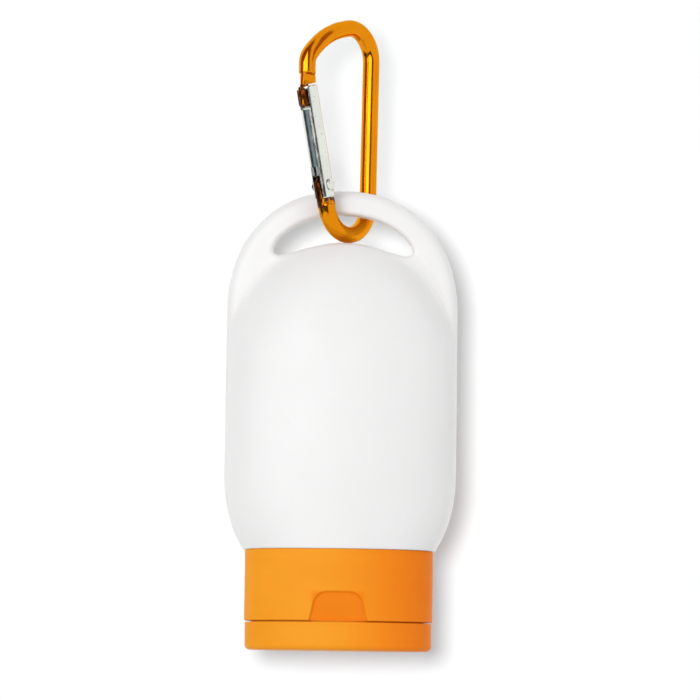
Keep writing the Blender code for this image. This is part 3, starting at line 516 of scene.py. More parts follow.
def make_cap_base():
    """One closed skin: inside, top edge, outside with its recess, bottom edge, lip and spout."""
    edge, chamfer, fine_top, coarse_row = quarter(0.25 * MM, 4), 0.15 * MM, 13.7 * MM, 0.9 * MM
    inner = [oval_ring(HALF_CAP, CAP_WALL, z) for z in (DECK_TOP, BASE_TOP - chamfer)]
    inner.append(oval_ring(HALF_CAP, CAP_WALL - chamfer, BASE_TOP))
    rows = np.concatenate([
        np.arange(BASE_BOTTOM + 0.35 * MM, fine_top, FINE_ROW),
        [POCKET_HIGH - HAIR / 2, POCKET_HIGH + HAIR / 2],
        np.arange(14.2 * MM, 22 * MM, coarse_row),
    ])
    shown = [(inset, BASE_TOP - drop) for inset, drop in edge]
    shown += [(0, z) for z in sorted(rows, reverse=True)]
    shown += [(inset, BASE_BOTTOM + rise) for inset, rise in reversed(edge)]
    shown = [recessed(oval_ring(HALF_CAP, inset, z)) for inset, z in shown]

    lip_outer, lip_inner, lip_low, soft = 1.7 * MM, 2.7 * MM, 5.65 * MM, 0.1 * MM
    lip = [
        (lip_outer, BASE_BOTTOM), (lip_outer, lip_low + soft), (lip_outer + soft, lip_low),
        (lip_inner - soft, lip_low), (lip_inner, lip_low + soft), (lip_inner, BASE_BOTTOM),
    ]
    lip = [oval_ring(HALF_CAP, inset, z) for inset, z in lip]

    spout_radius, orifice_radius, spout_low = 4.3 * MM, 3.25 * MM, 4.45 * MM
    soft_edge = [(0.2 * MM, 0), (0.06 * MM, 0.06 * MM), (0, 0.2 * MM)]
    spout = [(spout_radius, BASE_BOTTOM)]
    spout += [(spout_radius - inset, spout_low + rise) for inset, rise in reversed(soft_edge)]
    spout += [(orifice_radius + inset, spout_low + rise) for inset, rise in soft_edge]
    spout.append((orifice_radius, DECK_TOP))
    spout = [round_ring(radius, z) for radius, z in spout]
    return loft("cap_base_skin", inner + shown + lip + spout, closed=True)


def make_cap_lid():
    """One closed skin: flat end, rounded edge, wall, inside, seal ring and boss."""
    half = HALF_CAP - Vector((LID_INSET, LID_INSET))
    wall, chamfer, fillet = 1.2 * MM, 0.1 * MM, 0.3 * MM
    rows = np.append(np.arange(1.4, 6.0, 0.5) * MM, [POCKET_LOW - HAIR / 2, POCKET_LOW + HAIR / 2])
    places = quarter(1.1 * MM, 10) + [(0, z) for z in sorted(rows)]
    places += [(inset, LID_TOP - drop) for inset, drop in reversed(quarter(0.18 * MM, 4))]
    places += [(wall - chamfer, LID_TOP), (wall, LID_TOP - chamfer), (wall, LID_FLOOR + fillet)]
    places.append((wall + fillet, LID_FLOOR))

    outer, inner, ring_top = 5.4 * MM, 4.6 * MM, 4.8 * MM
    boss, boss_top = 3.6 * MM, 4.15 * MM
    foot, soft = 0.2 * MM, 0.15 * MM
    middle = [
        (outer + foot, LID_FLOOR), (outer, LID_FLOOR + foot),
        (outer, ring_top - soft), (outer - soft, ring_top),
        (inner + soft, ring_top), (inner, ring_top - soft), (inner, LID_FLOOR),
        (boss, LID_FLOOR), (boss, boss_top - soft), (boss - soft, boss_top),
    ]
    rings = [oval_ring(half, inset, z) for inset, z in places]
    return loft("cap_lid_skin", rings + [round_ring(radius, z) for radius, z in middle])


def make_strip(name, centre_x, width):
    """A strip across the parting line, thin where it bends, with softened sides."""
    front, back, web = 12.3 * MM, 12.75 * MM, 12.5 * MM
    reach, groove, edge = 2.1 * MM, 0.5 * MM, 0.08 * MM
    bend = 0.9 * groove
    heights = np.concatenate([
        np.linspace(-reach, -groove, 6), np.linspace(-bend, bend, 19), np.linspace(groove, reach, 6),
    ])

    def section(shrink):
        outer, inner = [], []
        for up in heights:
            hollow = max(1 - abs(up) / groove, 0)
            z = PARTING + up * (1 - shrink / reach)
            outer.append((back - shrink - (back - web) * hollow, z))
            inner.append((front + shrink * (1 - hollow), z))
        return outer + inner[::-1]

    places = [(-width / 2, edge), (-width / 2 + edge, 0), (width / 2 - edge, 0), (width / 2, edge)]
    rings = [[(centre_x + x, y, z) for y, z in section(shrink)] for x, shrink in places]
    return loft(name, rings)


# The snap hook, drawn in its own plane from its swing axis, then turned into place
def tangent_touch(point, centre, radius, side):
    """Where a line from the point touches the circle."""
    away = point - centre
    turn = math.acos(radius / away.length)
    return centre + Matrix.Rotation(-side * turn, 2) @ away.normalized() * radius


HOOK_PIVOT = Vector((0.76, 0, 100.275)) * MM
HOOK_TURN = math.radians(50)
WIRE_RADIUS = 1.9 * MM
GATE_RADIUS = 2.275 * MM
BEND_RADIUS = 7.3 * MM
CORNER_RADII = (6.8 * MM, 23 * MM, 3.75 * MM)
BEND = Vector((0, 0.675)) * MM
SPINE_CORNER = Vector((8.06, 42.794)) * MM
CROWN_CORNER = Vector((-8.915, 38.22)) * MM
GATE_TOP = Vector((-14.48, 25.41)) * MM
NOSE_CORNER = GATE_TOP + Vector((0, 6.44)) * MM
NOSE_END = GATE_TOP + Vector((0, 2.9)) * MM
GATE_FOOT = tangent_touch(GATE_TOP, BEND, BEND_RADIUS, -1)
SPINE_FOOT = tangent_touch(SPINE_CORNER, BEND, BEND_RADIUS, 1)
GATE_DOWN = (GATE_FOOT - GATE_TOP).normalized()
GATE_LEAN = math.atan2(-GATE_DOWN.x, -GATE_DOWN.y)
RIVET = GATE_FOOT - GATE_DOWN * 5.2 * MM
GATE_REACH = (GATE_TOP - RIVET).length
TONGUE_SHOULDER = RIVET + GATE_DOWN * 4.35 * MM
TONGUE_REACH = 1.2 * MM
TONGUE_TOP = 1.85 * MM
NOSE_HALF_WIDTH = 2.2 * MM
NOSE_SHIFT = 0.33 * MM
BORE_SHARE = 0.6
PUSHER_SHARE = 0.113
SIDES = 40
FINE_ARC = math.radians(3)

hook_to_world = Matrix.Translation(HOOK_PIVOT) @ Matrix.Rotation(HOOK_TURN, 4, "Z")
gate_to_hook = Matrix.Translation((RIVET.x, 0, RIVET.y)) @ Matrix.Rotation(GATE_LEAN, 4, "Y")
gate_to_world = hook_to_world @ gate_to_hook


def arc(centre, start, turn):
    """Points round the centre, from one that is start away from it."""
    steps = max(2, math.ceil(abs(turn) / FINE_ARC))
    return [centre + Matrix.Rotation(turn * step / steps, 2) @ start for step in range(steps + 1)]


def rounded_path(corners, radii):
    """A line through the corners, with an arc at each but the first and last."""
    points = [corners[0]]
    for before, corner, after, radius in zip(corners, corners[1:], corners[2:], radii):
        to_last = (before - corner).normalized()
        to_next = (after - corner).normalized()
        half_angle = to_last.angle(to_next) / 2
        centre = corner + (to_last + to_next).normalized() * radius / math.sin(half_angle)
        start = corner + to_last * radius / math.tan(half_angle) - centre
        turn = math.pi - 2 * half_angle
        if to_last.cross(to_next) > 0:
            turn = -turn
        points += arc(centre, start, turn)
    return points + [corners[-1]]


def hook_path():
    """The bar's centre line, from the tongue's shoulder round bend, spine and crown to the nose."""
    close = 0.15 * MM
    start, end = GATE_FOOT - BEND, SPINE_FOOT - BEND
    turn = math.tau - start.angle(end) if start.cross(end) < 0 else start.angle(end)
    low = arc(BEND, start, turn)
    high = rounded_path([low[-1], SPINE_CORNER, CROWN_CORNER, NOSE_CORNER, NOSE_END], CORNER_RADII)
    shoulder = [TONGUE_SHOULDER, TONGUE_SHOULDER + GATE_DOWN * close]
    return shoulder + low[:-1] + high[:-1] + [NOSE_END + Vector((0, close)), NOSE_END]


def pressed_section(half_width, half_depth, power, shift=0.0):
    """A flattened section of the bar, as (across, depth) points that match the round one's."""
    points = []
    for side in range(SIDES):
        angle = math.tau * side / SIDES
        cos, sin = math.cos(angle), math.sin(angle)
        across = math.copysign(abs(cos) ** (2 / power), cos) * half_width + shift
        points.append((across, math.copysign(abs(sin) ** (2 / power), sin) * half_depth))
    return points


def section_ring(point, along, section):
    across = Vector((along.y, -along.x))
    places = [(point + across * aside, depth) for aside, depth in section]
    return [(place.x, depth, place.y) for place, depth in places]


def above_gate(x):
    """The height that clears the gate's slanted end."""
    return GATE_TOP.y + SEAT_GAP / math.cos(GATE_LEAN) + (x - GATE_TOP.x) * math.tan(-GATE_LEAN)


def make_bar():
    """The bent bar. Its pressed ends are rows of distance, half width, half depth (mm) and squareness."""
    tongue = ((1.25, 2.1, 0.7, 8), (1.15, 2.2, 0.8, 8), (0.62, 2.16, 0.8, 8), (0.42, 2.0, 0.95, 4))
    tongue += ((0.12, 1.86, 1.7, 2.2),)
    nose = ((0.14, 1.86, 1.7, 2.2, 0.2), (0.36, 2.0, 0.75, 4, 0.8), (0.5, 2.2, 0.53, 8, 1))
    nose_rims = ((0.12, 2.2, 0.53, 8), (0, 2.1, 0.43, 8))

    rings = []
    for up, width, depth, power in tongue:
        section = pressed_section(width * MM, depth * MM, power)
        rings.append(section_ring(TONGUE_SHOULDER - GATE_DOWN * up * MM, GATE_DOWN, section))
    path = hook_path()
    bar = pressed_section(WIRE_RADIUS, WIRE_RADIUS, 2)
    for before, point, after in zip([path[0]] + path, path, path[1:] + [path[-1]]):
        rings.append(section_ring(point, (after - before).normalized(), bar))
    down = Vector((0, -1))
    for low, width, depth, power, shift in nose:
        section = pressed_section(width * MM, depth * MM, power, -NOSE_SHIFT * shift)
        rings.append(section_ring(NOSE_END + down * low * MM, down, section))
    for rise, width, depth, power in nose_rims:
        section = pressed_section(width * MM, depth * MM, power, -NOSE_SHIFT)
        ring = section_ring(NOSE_END, down, section)
        rings.append([(x, y, above_gate(x) + rise * MM) for x, y, _ in ring])
    return loft("hook_skin", rings)


def nose_plates():
    """The nose's neck, which passes the gate's mouth, and the tee bar that catches behind it."""
    outer = GATE_TOP.x + NOSE_SHIFT - NOSE_HALF_WIDTH
    inner, low = outer + 1.8 * MM, GATE_TOP.y - 4.6 * MM
    neck_half, tee_half = 0.525 * MM, 1.15 * MM
    tee_height, tee_proud = 3.3 * MM, 0.4 * MM
    lean = GATE_DOWN.x / -GATE_DOWN.y
    neck = [(outer, low), (inner, low)] + [(x, above_gate(x) + SEAT_GAP) for x in (inner, outer)]
    tee = [
        (outer - tee_proud + lean * tee_height, low - RUNNING_GAP),
        (inner + RUNNING_GAP, low - RUNNING_GAP),
        (inner + RUNNING_GAP, low + tee_height),
        (outer - tee_proud, low + tee_height),
    ]
    return [plate("nose_neck", neck, neck_half), plate("tee_bar", tee, tee_half)]


def tongue_plate():
    """The flat tongue that the gate turns on, narrow where it goes into the gate."""
    half, half_depth, low, tail, cut_off = 2.2 * MM, 0.8 * MM, -4.9 * MM, -3.1 * MM, 1 * MM
    reach, top = TONGUE_REACH, TONGUE_TOP
    corners = [(-half, low), (half, low), (half, tail), (reach, tail), (reach, top), (-reach, top)]
    made = plate("tongue", corners + [(-half, top - cut_off)], half_depth)
    made.data.transform(gate_to_hook)
    return made


def make_hook():
    """The bent bar with the pressed pieces at its ends, which take the second slot: painted shade and painted
    highlights.
    """
    bar = make_bar()
    pressed = nose_plates() + [tongue_plate()]
    for piece in pressed:
        piece.data.polygons.foreach_set("material_index", [1] * len(piece.data.polygons))
    return merge(bar, pressed, hook_to_world)


def round_wall_normals(gate):
    """Gives the gate's round wall exact normals, which the cuts disturb."""
    tolerance, level = 0.02 * MM, 0.1
    normals = [tuple(corner.vector) for corner in gate.data.corner_normals]
    for face in gate.data.polygons:
        corners = [gate.data.vertices[i].co for i in face.vertices]
        on_wall = all(abs(corner.xy.length - GATE_RADIUS) < tolerance for corner in corners)
        if on_wall and abs(face.normal.z) < level:
            for loop, corner in zip(face.loop_indices, corners):
                normals[loop] = (*corner.xy.normalized(), 0)
    gate.data.normals_split_custom_set(normals)


def make_gate():
    """The turned gate with its bore, slots, rivet hole and spot faces."""
    low, high, edge, overrun = -2.8 * MM, GATE_REACH, quarter(0.25 * MM, 4), 1 * MM
    profile = [(0, low)] + [(GATE_RADIUS - inset, low + rise) for inset, rise in edge]
    profile += [(GATE_RADIUS - inset, high - drop) for inset, drop in reversed(edge)] + [(0, high)]
    gate = turned("gate_skin", profile, 96)
    past, under = GATE_RADIUS + overrun, low - overrun
    bore, bore_top = 1.35 * MM, high * BORE_SHARE
    cut(gate, turned("bore", [(0, under), (bore, under), (bore, bore_top), (0, bore_top)], 48))

    tail_half, web_low, web_side, tail_top = 1.1 * MM, 1.2 * MM, 1.45 * MM, 4.4 * MM
    tail = [(-past, under), (past, under), (past, web_low), (web_side, web_low)]
    cut(gate, prism("tail_slot", tail + [(web_side, tail_top), (-past, tail_top)], tail_half))
    lip, nose_low = high - 0.6 * MM, high - 5.2 * MM
    nose_half, nose_reach = 1.45 * MM, 0.45 * MM
    cut(gate, prism("nose_slot", rectangle(-past, nose_reach, nose_low, lip), nose_half))
    mouth_half, mouth_reach, mouth_low = 0.825 * MM, 0.6 * MM, lip - 0.6 * MM
    cut(gate, prism("nose_mouth", rectangle(-past, mouth_reach, mouth_low, high + overrun), mouth_half))

    hole_radius, face_radius, face_depth = 0.8 * MM, 1.55 * MM, 0.3 * MM
    cut(gate, rod_along_y("rivet_hole", hole_radius, past))
    for side in (-1, 1):
        tool = rod_along_y("spot_face", face_radius, overrun)
        tool.data.transform(Matrix.Translation((0, side * (past - face_depth), 0)))
        cut(gate, tool)
    smooth(gate.data, 30)
    round_wall_normals(gate)
    gate.data.transform(gate_to_world)
    return gate


def make_rivet():
    """The rivet, with a hammered dome at each end, the upper one smaller and flatter."""
    shank, seat = 0.65 * MM, 2.125 * MM
    narrow, flat = 0.84, 0.55
    dome = [(1.4, 0), (1.46, 0.1), (1.44, 0.2), (1.33, 0.33)]
    dome += [(1.1, 0.43), (0.8, 0.49), (0.4, 0.51), (0, 0.51)]
    upper = [(shank, seat)] + [(narrow * radius * MM, seat + flat * height * MM) for radius, height in dome]
    lower = [(shank, -seat)] + [(radius * MM, -seat - height * MM) for radius, height in dome]
    rivet = turned("rivet_skin", lower[::-1] + upper, 48)
    rivet.data.transform(Matrix.Rotation(math.pi / 2, 4, "X"))
    rivet.data.transform(gate_to_world)
    return rivet


def make_spring():
    """The open coil inside the gate, from over the pusher to the bore's end."""
    wire, coil, turns, steps, sides = 0.15 * MM, 0.95 * MM, 8, 32, 12
    foot = math.hypot(TONGUE_REACH, TONGUE_TOP) + RUNNING_GAP
    low = foot + GATE_REACH * PUSHER_SHARE + SEAT_GAP + wire
    high = GATE_REACH * BORE_SHARE - SEAT_GAP - wire
    rings = []
    for i in range(turns * steps + 1):
        angle = math.tau * i / steps
        out = Vector((math.cos(angle), math.sin(angle), 0))
        centre = out * coil + Vector((0, 0, low + (high - low) * i / (turns * steps)))
        rings.append([
            centre + out * wire * math.cos(side) + Vector((0, 0, wire * math.sin(side)))
            for side in (math.tau * k / sides for k in range(sides))
        ])
    spring = loft("spring_skin", rings)
    spring.data.transform(gate_to_world)
    return spring


FILM_WIDTH = 6.4 * MM
STRAP_WIDTH = 1.7 * MM
STRAP_PLACE = FILM_WIDTH / 2 + SEAT_GAP + STRAP_WIDTH / 2
BOTTLE_SKINS = [make_body_skin(), make_neck(), make_cap_base(), make_cap_lid()]
HINGE_SKINS = [
    make_strip("film_skin", 0, FILM_WIDTH),
    make_strip("strap_left_skin", -STRAP_PLACE, STRAP_WIDTH),
    make_strip("strap_right_skin", STRAP_PLACE, STRAP_WIDTH),
]
HOOK_SKINS = [make_hook(), make_gate(), make_rivet(), make_spring()]


# Materials
def node(tree, kind, inputs=None, **settings):
    made = tree.nodes.new("ShaderNode" + kind)
    for key, value in settings.items():
        setattr(made, key, value)
    for key, value in (inputs or {}).items():
        if isinstance(value, bpy.types.NodeSocket):
            tree.links.new(value, made.inputs[key])
        else:
            made.inputs[key].default_value = value
    return made


def maths(tree, operation, *values):
    return node(tree, "Math", dict(enumerate(values)), operation=operation).outputs[0]


def coordinates(tree):
    return node(tree, "TexCoord").outputs["Object"]


def place_of(tree):
    """The X, Y and Z of the shaded point."""
    return node(tree, "SeparateXYZ", {"Vector": coordinates(tree)}).outputs


def noise(tree, scale, low=0, high=1, detail=3.0, stretch=(1, 1, 1), window=(0.3, 0.7)):
    """Values from low to high that vary over the surface; scale is in features per metre."""
    mapped = node(tree, "Mapping", {"Vector": coordinates(tree), "Scale": stretch})
    cloud = {"Vector": mapped.outputs["Vector"], "Scale": scale, "Detail": detail}
    value = node(tree, "TexNoise", cloud).outputs["Fac"]
    span = {"Value": value, "From Min": window[0], "From Max": window[1], "To Min": low, "To Max": high}
    return node(tree, "MapRange", span).outputs["Result"]


def fade(tree, value, start, end):
    """Goes smoothly from 0 where value is start to 1 where it is end."""
    span = {"Value": value, "From Min": start, "From Max": end, "To Min": 0.0, "To Max": 1.0}
    return node(tree, "MapRange", span, interpolation_type="SMOOTHSTEP").outputs["Result"]


def tint(tree, share, first, second):
    """From the first colour to the second as share goes from 0 to 1. Either may be a socket."""
    factor, first_input, second_input, result = 0, 6, 7, 2
    inputs = {factor: share}
    for slot, colour in ((first_input, first), (second_input, second)):
        inputs[slot] = colour if isinstance(colour, bpy.types.NodeSocket) else (*colour, 1)
    return node(tree, "Mix", inputs, data_type="RGBA").outputs[result]


def bump(tree, *layers):
    """A normal from (height socket, depth in metres) layers, one over another."""
    below = {}
    for height, depth in layers:
        made = node(tree, "Bump", {"Height": height, "Distance": depth, "Strength": 1.0} | below)
        below = {"Normal": made.outputs["Normal"]}
    return below["Normal"]


def empty_material(name):
    made = bpy.data.materials.new(name)
    made.use_nodes = True
    made.node_tree.nodes.clear()
    return made


def material(name, **constants):
    """A material with a Principled shader, its node tree, and a function that links an input."""
    made = bpy.data.materials.new(name)
    made.use_nodes = True
    shader = made.node_tree.nodes["Principled BSDF"]
    for key, value in constants.items():
        shader.inputs[key.replace("_", " ")].default_value = value

    def link(key, socket):
        made.node_tree.links.new(socket, shader.inputs[key])

    return made, made.node_tree, link


def white_plastic():
    """Blown polyethylene: clouded, flecked and scuffed, with the mould's seam down both sides."""
    made, tree, link = material(
        "white_polyethylene", IOR=1.51, Specular_IOR_Level=0.4,
        Subsurface_Weight=0.3, Subsurface_Scale=3 * MM, Subsurface_Radius=(1.0, 0.9, 0.8),
    )
    base = tint(tree, noise(tree, 38), (0.845, 0.843, 0.84), (0.87, 0.87, 0.868))
    fleck = noise(tree, 900, high=0.5, detail=2, window=(0.66, 0.78))
    link("Base Color", tint(tree, fleck, base, (0.81, 0.80, 0.785)))
    link("Roughness", noise(tree, 220, low=0.40, high=0.50, detail=6, stretch=(1, 1, 0.25)))
    seam = fade(tree, maths(tree, "ABSOLUTE", place_of(tree)["Y"]), 0.12 * MM, 0)
    peel = noise(tree, 420, detail=1)
    grain = noise(tree, 3200, detail=2)
    link("Normal", bump(tree, (peel, 4 * MICRON), (grain, 2 * MICRON), (seam, 40 * MICRON)))
    return made


def orange_plastic():
    """Moulded polypropylene with painted shade: deeper to the right of the cap's middle and in its thumb
    recess.
    """
    made, tree, link = material(
        "orange_polypropylene", IOR=1.49, Specular_IOR_Level=0.1,
        Subsurface_Weight=0.08, Subsurface_Scale=2 * MM, Subsurface_Radius=(1.0, 0.45, 0.1),
    )
    cloud = noise(tree, 45, stretch=(1, 1, 1.8))
    base = tint(tree, cloud, (0.905, 0.33, 0.012), (0.945, 0.36, 0.016))
    place = place_of(tree)
    # Painted shade: the cap turns deeper and redder towards +X, for the light that falls off to that side
    base = tint(tree, fade(tree, place["X"], -6 * MM, 20 * MM), base, (0.90, 0.20, 0.006))
    # Painted shade in the thumb recess: its floor is coloured deeper orange, as shade falls in it
    recess_shade = fade(tree, maths(tree, "ABSOLUTE", place["X"]), 6.3 * MM, 5.2 * MM)
    for axis, start, end in (("Z", 13.2 * MM, 12.4 * MM), ("Z", 6.4 * MM, 6.7 * MM), ("Y", 0, -1 * MM)):
        recess_shade = maths(tree, "MULTIPLY", recess_shade, fade(tree, place[axis], start, end))
    base = tint(tree, recess_shade, base, (0.90, 0.224, 0.002))
    flow = noise(tree, 120, high=0.3, detail=4, stretch=(0.3, 0.3, 2.5))
    link("Base Color", tint(tree, flow, base, (0.89, 0.28, 0.010)))
    link("Roughness", noise(tree, 260, low=0.46, high=0.56, detail=5))
    peel = noise(tree, 650, detail=1)
    grain = noise(tree, 4200, detail=2)
    link("Normal", bump(tree, (peel, 3 * MICRON), (grain, 2 * MICRON)))
    return made


def orange_metal():
    """Anodised aluminium, with pores and fine lines along the drawn bar."""
    made, tree, link = material("orange_anodised_aluminium", Metallic=1.0, Specular_Tint=(1, 0.85, 0.5, 1))
    base = tint(tree, noise(tree, 90), (0.735, 0.237, 0.004), (0.80, 0.274, 0.006))
    pore = noise(tree, 1600, high=0.6, detail=3, window=(0.64, 0.74))
    link("Base Color", tint(tree, pore, base, (0.58, 0.14, 0.004)))
    link("Roughness", noise(tree, 500, low=0.10, high=0.19, detail=4))
    drawn = noise(tree, 900, detail=2, stretch=(1, 1, 0.06))
    dent = noise(tree, 240, detail=1)
    link("Normal", bump(tree, (dent, 6 * MICRON), (drawn, 1.5 * MICRON)))
    return made


def pressed_metal_painted_shade():
    """The bar's pressed, dented faces: their dark colour is painted shade and dark reflection, their bright
    streaks painted highlights.
    """
    made, tree, link = material("pressed_aluminium_painted_shade", Metallic=1.0)
    painted_highlight_streaks = noise(tree, 1100, detail=4, stretch=(1, 1, 0.35), window=(0.58, 0.66))
    # Painted shade and dark reflection: a nearly black base, with orange streaks that are painted highlights
    base = tint(tree, noise(tree, 500, detail=2), (0.035, 0.009, 0.003), (0.16, 0.04, 0.005))
    link("Base Color", tint(tree, painted_highlight_streaks, base, (0.82, 0.31, 0.012)))
    link("Roughness", noise(tree, 700, low=0.16, high=0.34, detail=3))
    dent = noise(tree, 900, detail=2, stretch=(1, 1, 0.4))
    link("Normal", bump(tree, (dent, 60 * MICRON)))
    return made


def bare_metal(name, colour, dark, rough):
    """Turned or drawn metal with small dark pits."""
    made, tree, link = material(name, Metallic=1.0)
    base = tint(tree, noise(tree, 150), colour, tuple(0.94 * part for part in colour))
    pit = noise(tree, 1500, high=0.7, detail=3, window=(0.64, 0.76))
    link("Base Color", tint(tree, pit, base, dark))
    link("Roughness", noise(tree, 600, low=rough, high=rough + 0.1, detail=4))
    lathe = noise(tree, 700, detail=2, stretch=(0.15, 0.15, 6))
    dent = noise(tree, 300, detail=1)
    link("Normal", bump(tree, (dent, 4 * MICRON), (lathe, 1.2 * MICRON)))
    return made


def foam():
    made, tree, link = material("white_foam", IOR=1.4)
    cloud = noise(tree, 700, detail=4)
    link("Base Color", tint(tree, cloud, (0.74, 0.73, 0.7), (0.82, 0.81, 0.79)))
    link("Roughness", noise(tree, 900, low=0.7, high=0.9))
    cells = node(tree, "TexVoronoi", {"Vector": coordinates(tree), "Scale": 2600.0})
    link("Normal", bump(tree, (cells.outputs["Distance"], 50 * MICRON)))
    return made


LOOKS = {
    "bottle_white": white_plastic(),
    "cap_orange": orange_plastic(),
    "hook_orange": orange_metal(),
    "gate_metal": bare_metal("polished_gate_metal", (0.775, 0.80, 0.745), (0.35, 0.36, 0.35), 0.11),
    "steel": bare_metal("bright_steel", (0.68, 0.69, 0.71), (0.3, 0.3, 0.31), 0.22),
    "seal_foam": foam(),
}
# For each skin: the body it rides on (or none, when it stays where it was built), the node it replaces and
# its slot
ROLES = (
    ("bottle", "bottle_body", "bottle_white"),
    ("bottle", None, "bottle_white"),
    ("bottle", "cap_base", "cap_orange"),
    ("lid", "cap_lid", "cap_orange"),
    (None, "hinge_film", "cap_orange"),
    (None, "snap_strap_left", "cap_orange"),
    (None, "snap_strap_right", "cap_orange"),
    ("hook", "carabiner_body", "hook_orange"),
    ("gate", "carabiner_gate", "gate_metal"),
    ("hook", "gate_rivet", "gate_metal"),
    ("gate", "gate_spring", "steel"),
)
for piece, (body, replaced, slot_name) in zip(BOTTLE_SKINS + HINGE_SKINS + HOOK_SKINS, ROLES):
    piece.data.materials.append(LOOKS[slot_name])
    if body is None:
        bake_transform(piece)
    else:
        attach(piece, body)
    if replaced:
        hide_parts(replaced)
# The pressed pieces' slot: painted shade and painted highlights
HOOK_SKINS[0].data.materials.append(pressed_metal_painted_shade())

for node_name, slot_name in (("neck_seal", "seal_foam"), ("gate_plunger", "steel")):
    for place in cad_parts[node_name].material_slots:
        place.material = LOOKS[slot_name]


# The stage: a white sheet behind the bottle, cards for gloss, lamps and a pale world
CENTRE = Vector((0, 0, 70)) * MM
SHEET_Y = 55 * MM
SHEET_ACROSS = (-140 * MM, 160 * MM)
SHEET_UP = (-80 * MM, 220 * MM)


def seen_share(tree):
    """1 on rays from the camera, mirrored and refracted ones, 0 on those that carry diffuse light."""
    path = node(tree, "LightPath").outputs
    seen = maths(tree, "MAXIMUM", path["Is Camera Ray"], path["Is Glossy Ray"])
    return maths(tree, "MAXIMUM", seen, path["Is Transmission Ray"])


def sheet_look():
    """White paper that shows shadows, with a painted cooler foot that cancels the cap's bounced orange light,
    and clear from behind and to shadow rays.
    """
    made = empty_material("white_sheet")
    tree = made.node_tree
    seen = seen_share(tree)
    # Painted tint: cooler round and under the cap, to cancel the orange light the cap bounces onto the sheet
    foot = fade(tree, place_of(tree)["Z"], 26 * MM, 16 * MM)
    shown = tint(tree, foot, (0.75, 0.76, 0.762), (0.732, 0.76, 0.778))
    paper = node(tree, "BsdfDiffuse", {"Color": tint(tree, seen, (0.78, 0.78, 0.78), shown)})
    strength = maths(tree, "MULTIPLY", seen, 0.02)
    lift = node(tree, "Emission", {"Color": (1, 1, 1, 1), "Strength": strength})
    both = node(tree, "AddShader", {0: paper.outputs[0], 1: lift.outputs[0]})
    clear = node(tree, "BsdfTransparent")
    behind = node(tree, "NewGeometry").outputs["Backfacing"]
    passes = maths(tree, "MAXIMUM", behind, node(tree, "LightPath").outputs["Is Shadow Ray"])
    mixed = node(tree, "MixShader", {0: passes, 1: both.outputs[0], 2: clear.outputs[0]})
    node(tree, "OutputMaterial", {"Surface": mixed.outputs[0]})
    return made


def stage_mesh(name, grid, look):
    """A stage piece from rows of points."""
    bm = bmesh.new()
    for corners in quads([[bm.verts.new(point) for point in row] for row in grid], False):
        bm.faces.new(corners)
    made = to_object(name, bm)
    made.data.materials.append(look)
    return made


def direction(azimuth, elevation):
    """A unit vector from the bottle: azimuth 0 is towards the camera, positive to the right."""
    a, e = math.radians(azimuth), math.radians(elevation)
    return Vector((math.sin(a) * math.cos(e), -math.cos(a) * math.cos(e), math.sin(e)))


def glow(name, colour, strength):
    made = empty_material(name)
    tree = made.node_tree
    light = node(tree, "Emission", {"Color": (*colour, 1), "Strength": strength})
    node(tree, "OutputMaterial", {"Surface": light.outputs[0]})
    return made


def card(name, colour, strength, radius, rows):
    """Part of a sphere round the bottle that only gloss sees, from (elevation, first, last azimuth) rows."""
    steps = 25
    heights, firsts, lasts = zip(*rows)
    grid = []
    for e in np.linspace(heights[0], heights[-1], steps):
        azimuths = np.linspace(np.interp(e, heights, firsts), np.interp(e, heights, lasts), steps)
        grid.append([CENTRE + direction(a, e) * radius for a in azimuths])
    made = stage_mesh(name, grid, glow(name, colour, strength))
    for ray in ("camera", "diffuse", "shadow", "transmission"):
        setattr(made, "visible_" + ray, False)


def lamp(name, azimuth, elevation, distance, size, share, receivers=None, blockers=None):
    """A round lamp that gloss doesn't see. The share of the full light falls on a surface that faces it."""
    data = bpy.data.lights.new(name, "AREA")
    data.shape = "DISK"
    data.size = size
    data.energy = share * math.pi**2 * distance**2
    made = new_object(name, data)
    towards = direction(azimuth, elevation)
    made.location = CENTRE + towards * distance
    made.rotation_mode = "QUATERNION"
    made.rotation_quaternion = towards.to_track_quat("Z", "Y")
    made.visible_glossy = False
    made.light_linking.receiver_collection = receivers
    made.light_linking.blocker_collection = blockers


def linked(name, objects, state="INCLUDE"):
    """A group of objects that a lamp's light is kept to or kept from."""
    group = bpy.data.collections.new(name)
    for obj in objects:
        group.objects.link(obj)
    for entry in group.collection_objects:
        entry.light_linking.link_state = state
    return group


sheet = stage_mesh("sheet", [[(x, SHEET_Y, z) for x in SHEET_ACROSS] for z in SHEET_UP], sheet_look())
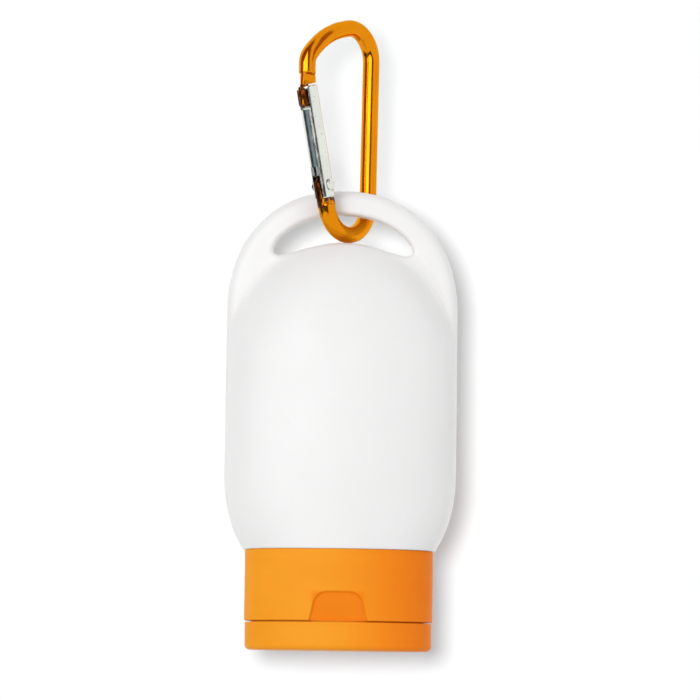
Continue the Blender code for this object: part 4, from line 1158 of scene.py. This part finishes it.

# Glowing cards, no lamps, that only reflections see: painted reflections, the bright soft box's and the
# tinted dark ones on the metal
CARDS = {
    "soft_box_reflection": ((1, 1, 1), 3.1, 1.5, (
        (-13, -16, -8), (-8, -34, -2), (-2, -57, 4), (10, -60, 5), (16, -48, 4),
        (22, -41, 2), (32, -33, -1), (42, -26, -6), (52, -17, -12), (60, -14, -13.5),
    )),
    "dark_surround": ((1, 0.42, 0.3), 0.3, 1.6, (
        (-6, -98, 20), (0, -96, 26), (10, -96, 31), (60, -96, 30), (86, -140, 30),
    )),
    "lower_dark": ((1, 0.95, 0.85), 0.05, 1.58, ((-26, -122, 12), (-10, -122, 19), (-5, -104, 21))),
    "cool_strip": ((0.5, 0.78, 1), 0.34, 1.55, ((-26, -70, -38), (-5, -70, -38))),
    "side_flag": ((1, 0.5, 0.4), 0.42, 1.6, ((14, 68, 89.5), (64, 68, 89.5))),
}
for name, settings in CARDS.items():
    card(name, *settings)

# The bottle and the sheet have lamps of their own: where from, distance, size, share of light
but_sheet = linked("all_but_the_sheet", [sheet], "EXCLUDE")
only_sheet = linked("only_the_sheet", [sheet])
but_hook = linked("all_but_the_hook", HOOK_SKINS, "EXCLUDE")
LAMPS = {
    "key": (-30, 3, 1.25, 0.6, 0.40, but_sheet),
    "fill": (50, 8, 1.2, 0.9, 0.18, but_sheet),
    "shadow_all": (-3.3, -3.2, 0.8, 0.11, 0.42, only_sheet),
    "shadow_bottle": (-2.8, -3.5, 0.8, 0.085, 0.45, only_sheet, but_hook),
    "back": (172, 25, 1.3, 1.0, 0.29),
}
for name, settings in LAMPS.items():
    lamp(name, *settings)

world = bpy.data.worlds.new("studio")
bpy.context.scene.world = world
world.use_nodes = True
tree = world.node_tree
tree.nodes.clear()
level = node(tree, "MapRange", {"Value": seen_share(tree), "To Min": 0.60, "To Max": 1.0})
sky = node(tree, "Background", {"Color": (1, 1, 1, 1), "Strength": level.outputs["Result"]})
node(tree, "OutputWorld", {"Surface": sky.outputs[0]})

# The camera: a little below the bottle, looking up at it
AIM = Vector((1.86, 0, 67.5)) * MM
CAMERA_DISTANCE = 803 * MM
PITCH = math.radians(5.5)
ROLL = math.radians(0.77)
data = bpy.data.cameras.new("camera")
data.lens = 183.4
data.sensor_width = 36
data.clip_start, data.clip_end = 0.01, 10
camera = new_object("camera", data)
away = Vector((0, -math.cos(PITCH), -math.sin(PITCH)))
camera.location = AIM + away * CAMERA_DISTANCE
camera.rotation_mode = "QUATERNION"
camera.rotation_quaternion = away.to_track_quat("Z", "Y") @ Matrix.Rotation(ROLL, 3, "Z").to_quaternion()
bpy.context.scene.camera = camera
bpy.context.scene.view_settings.view_transform = "Standard"
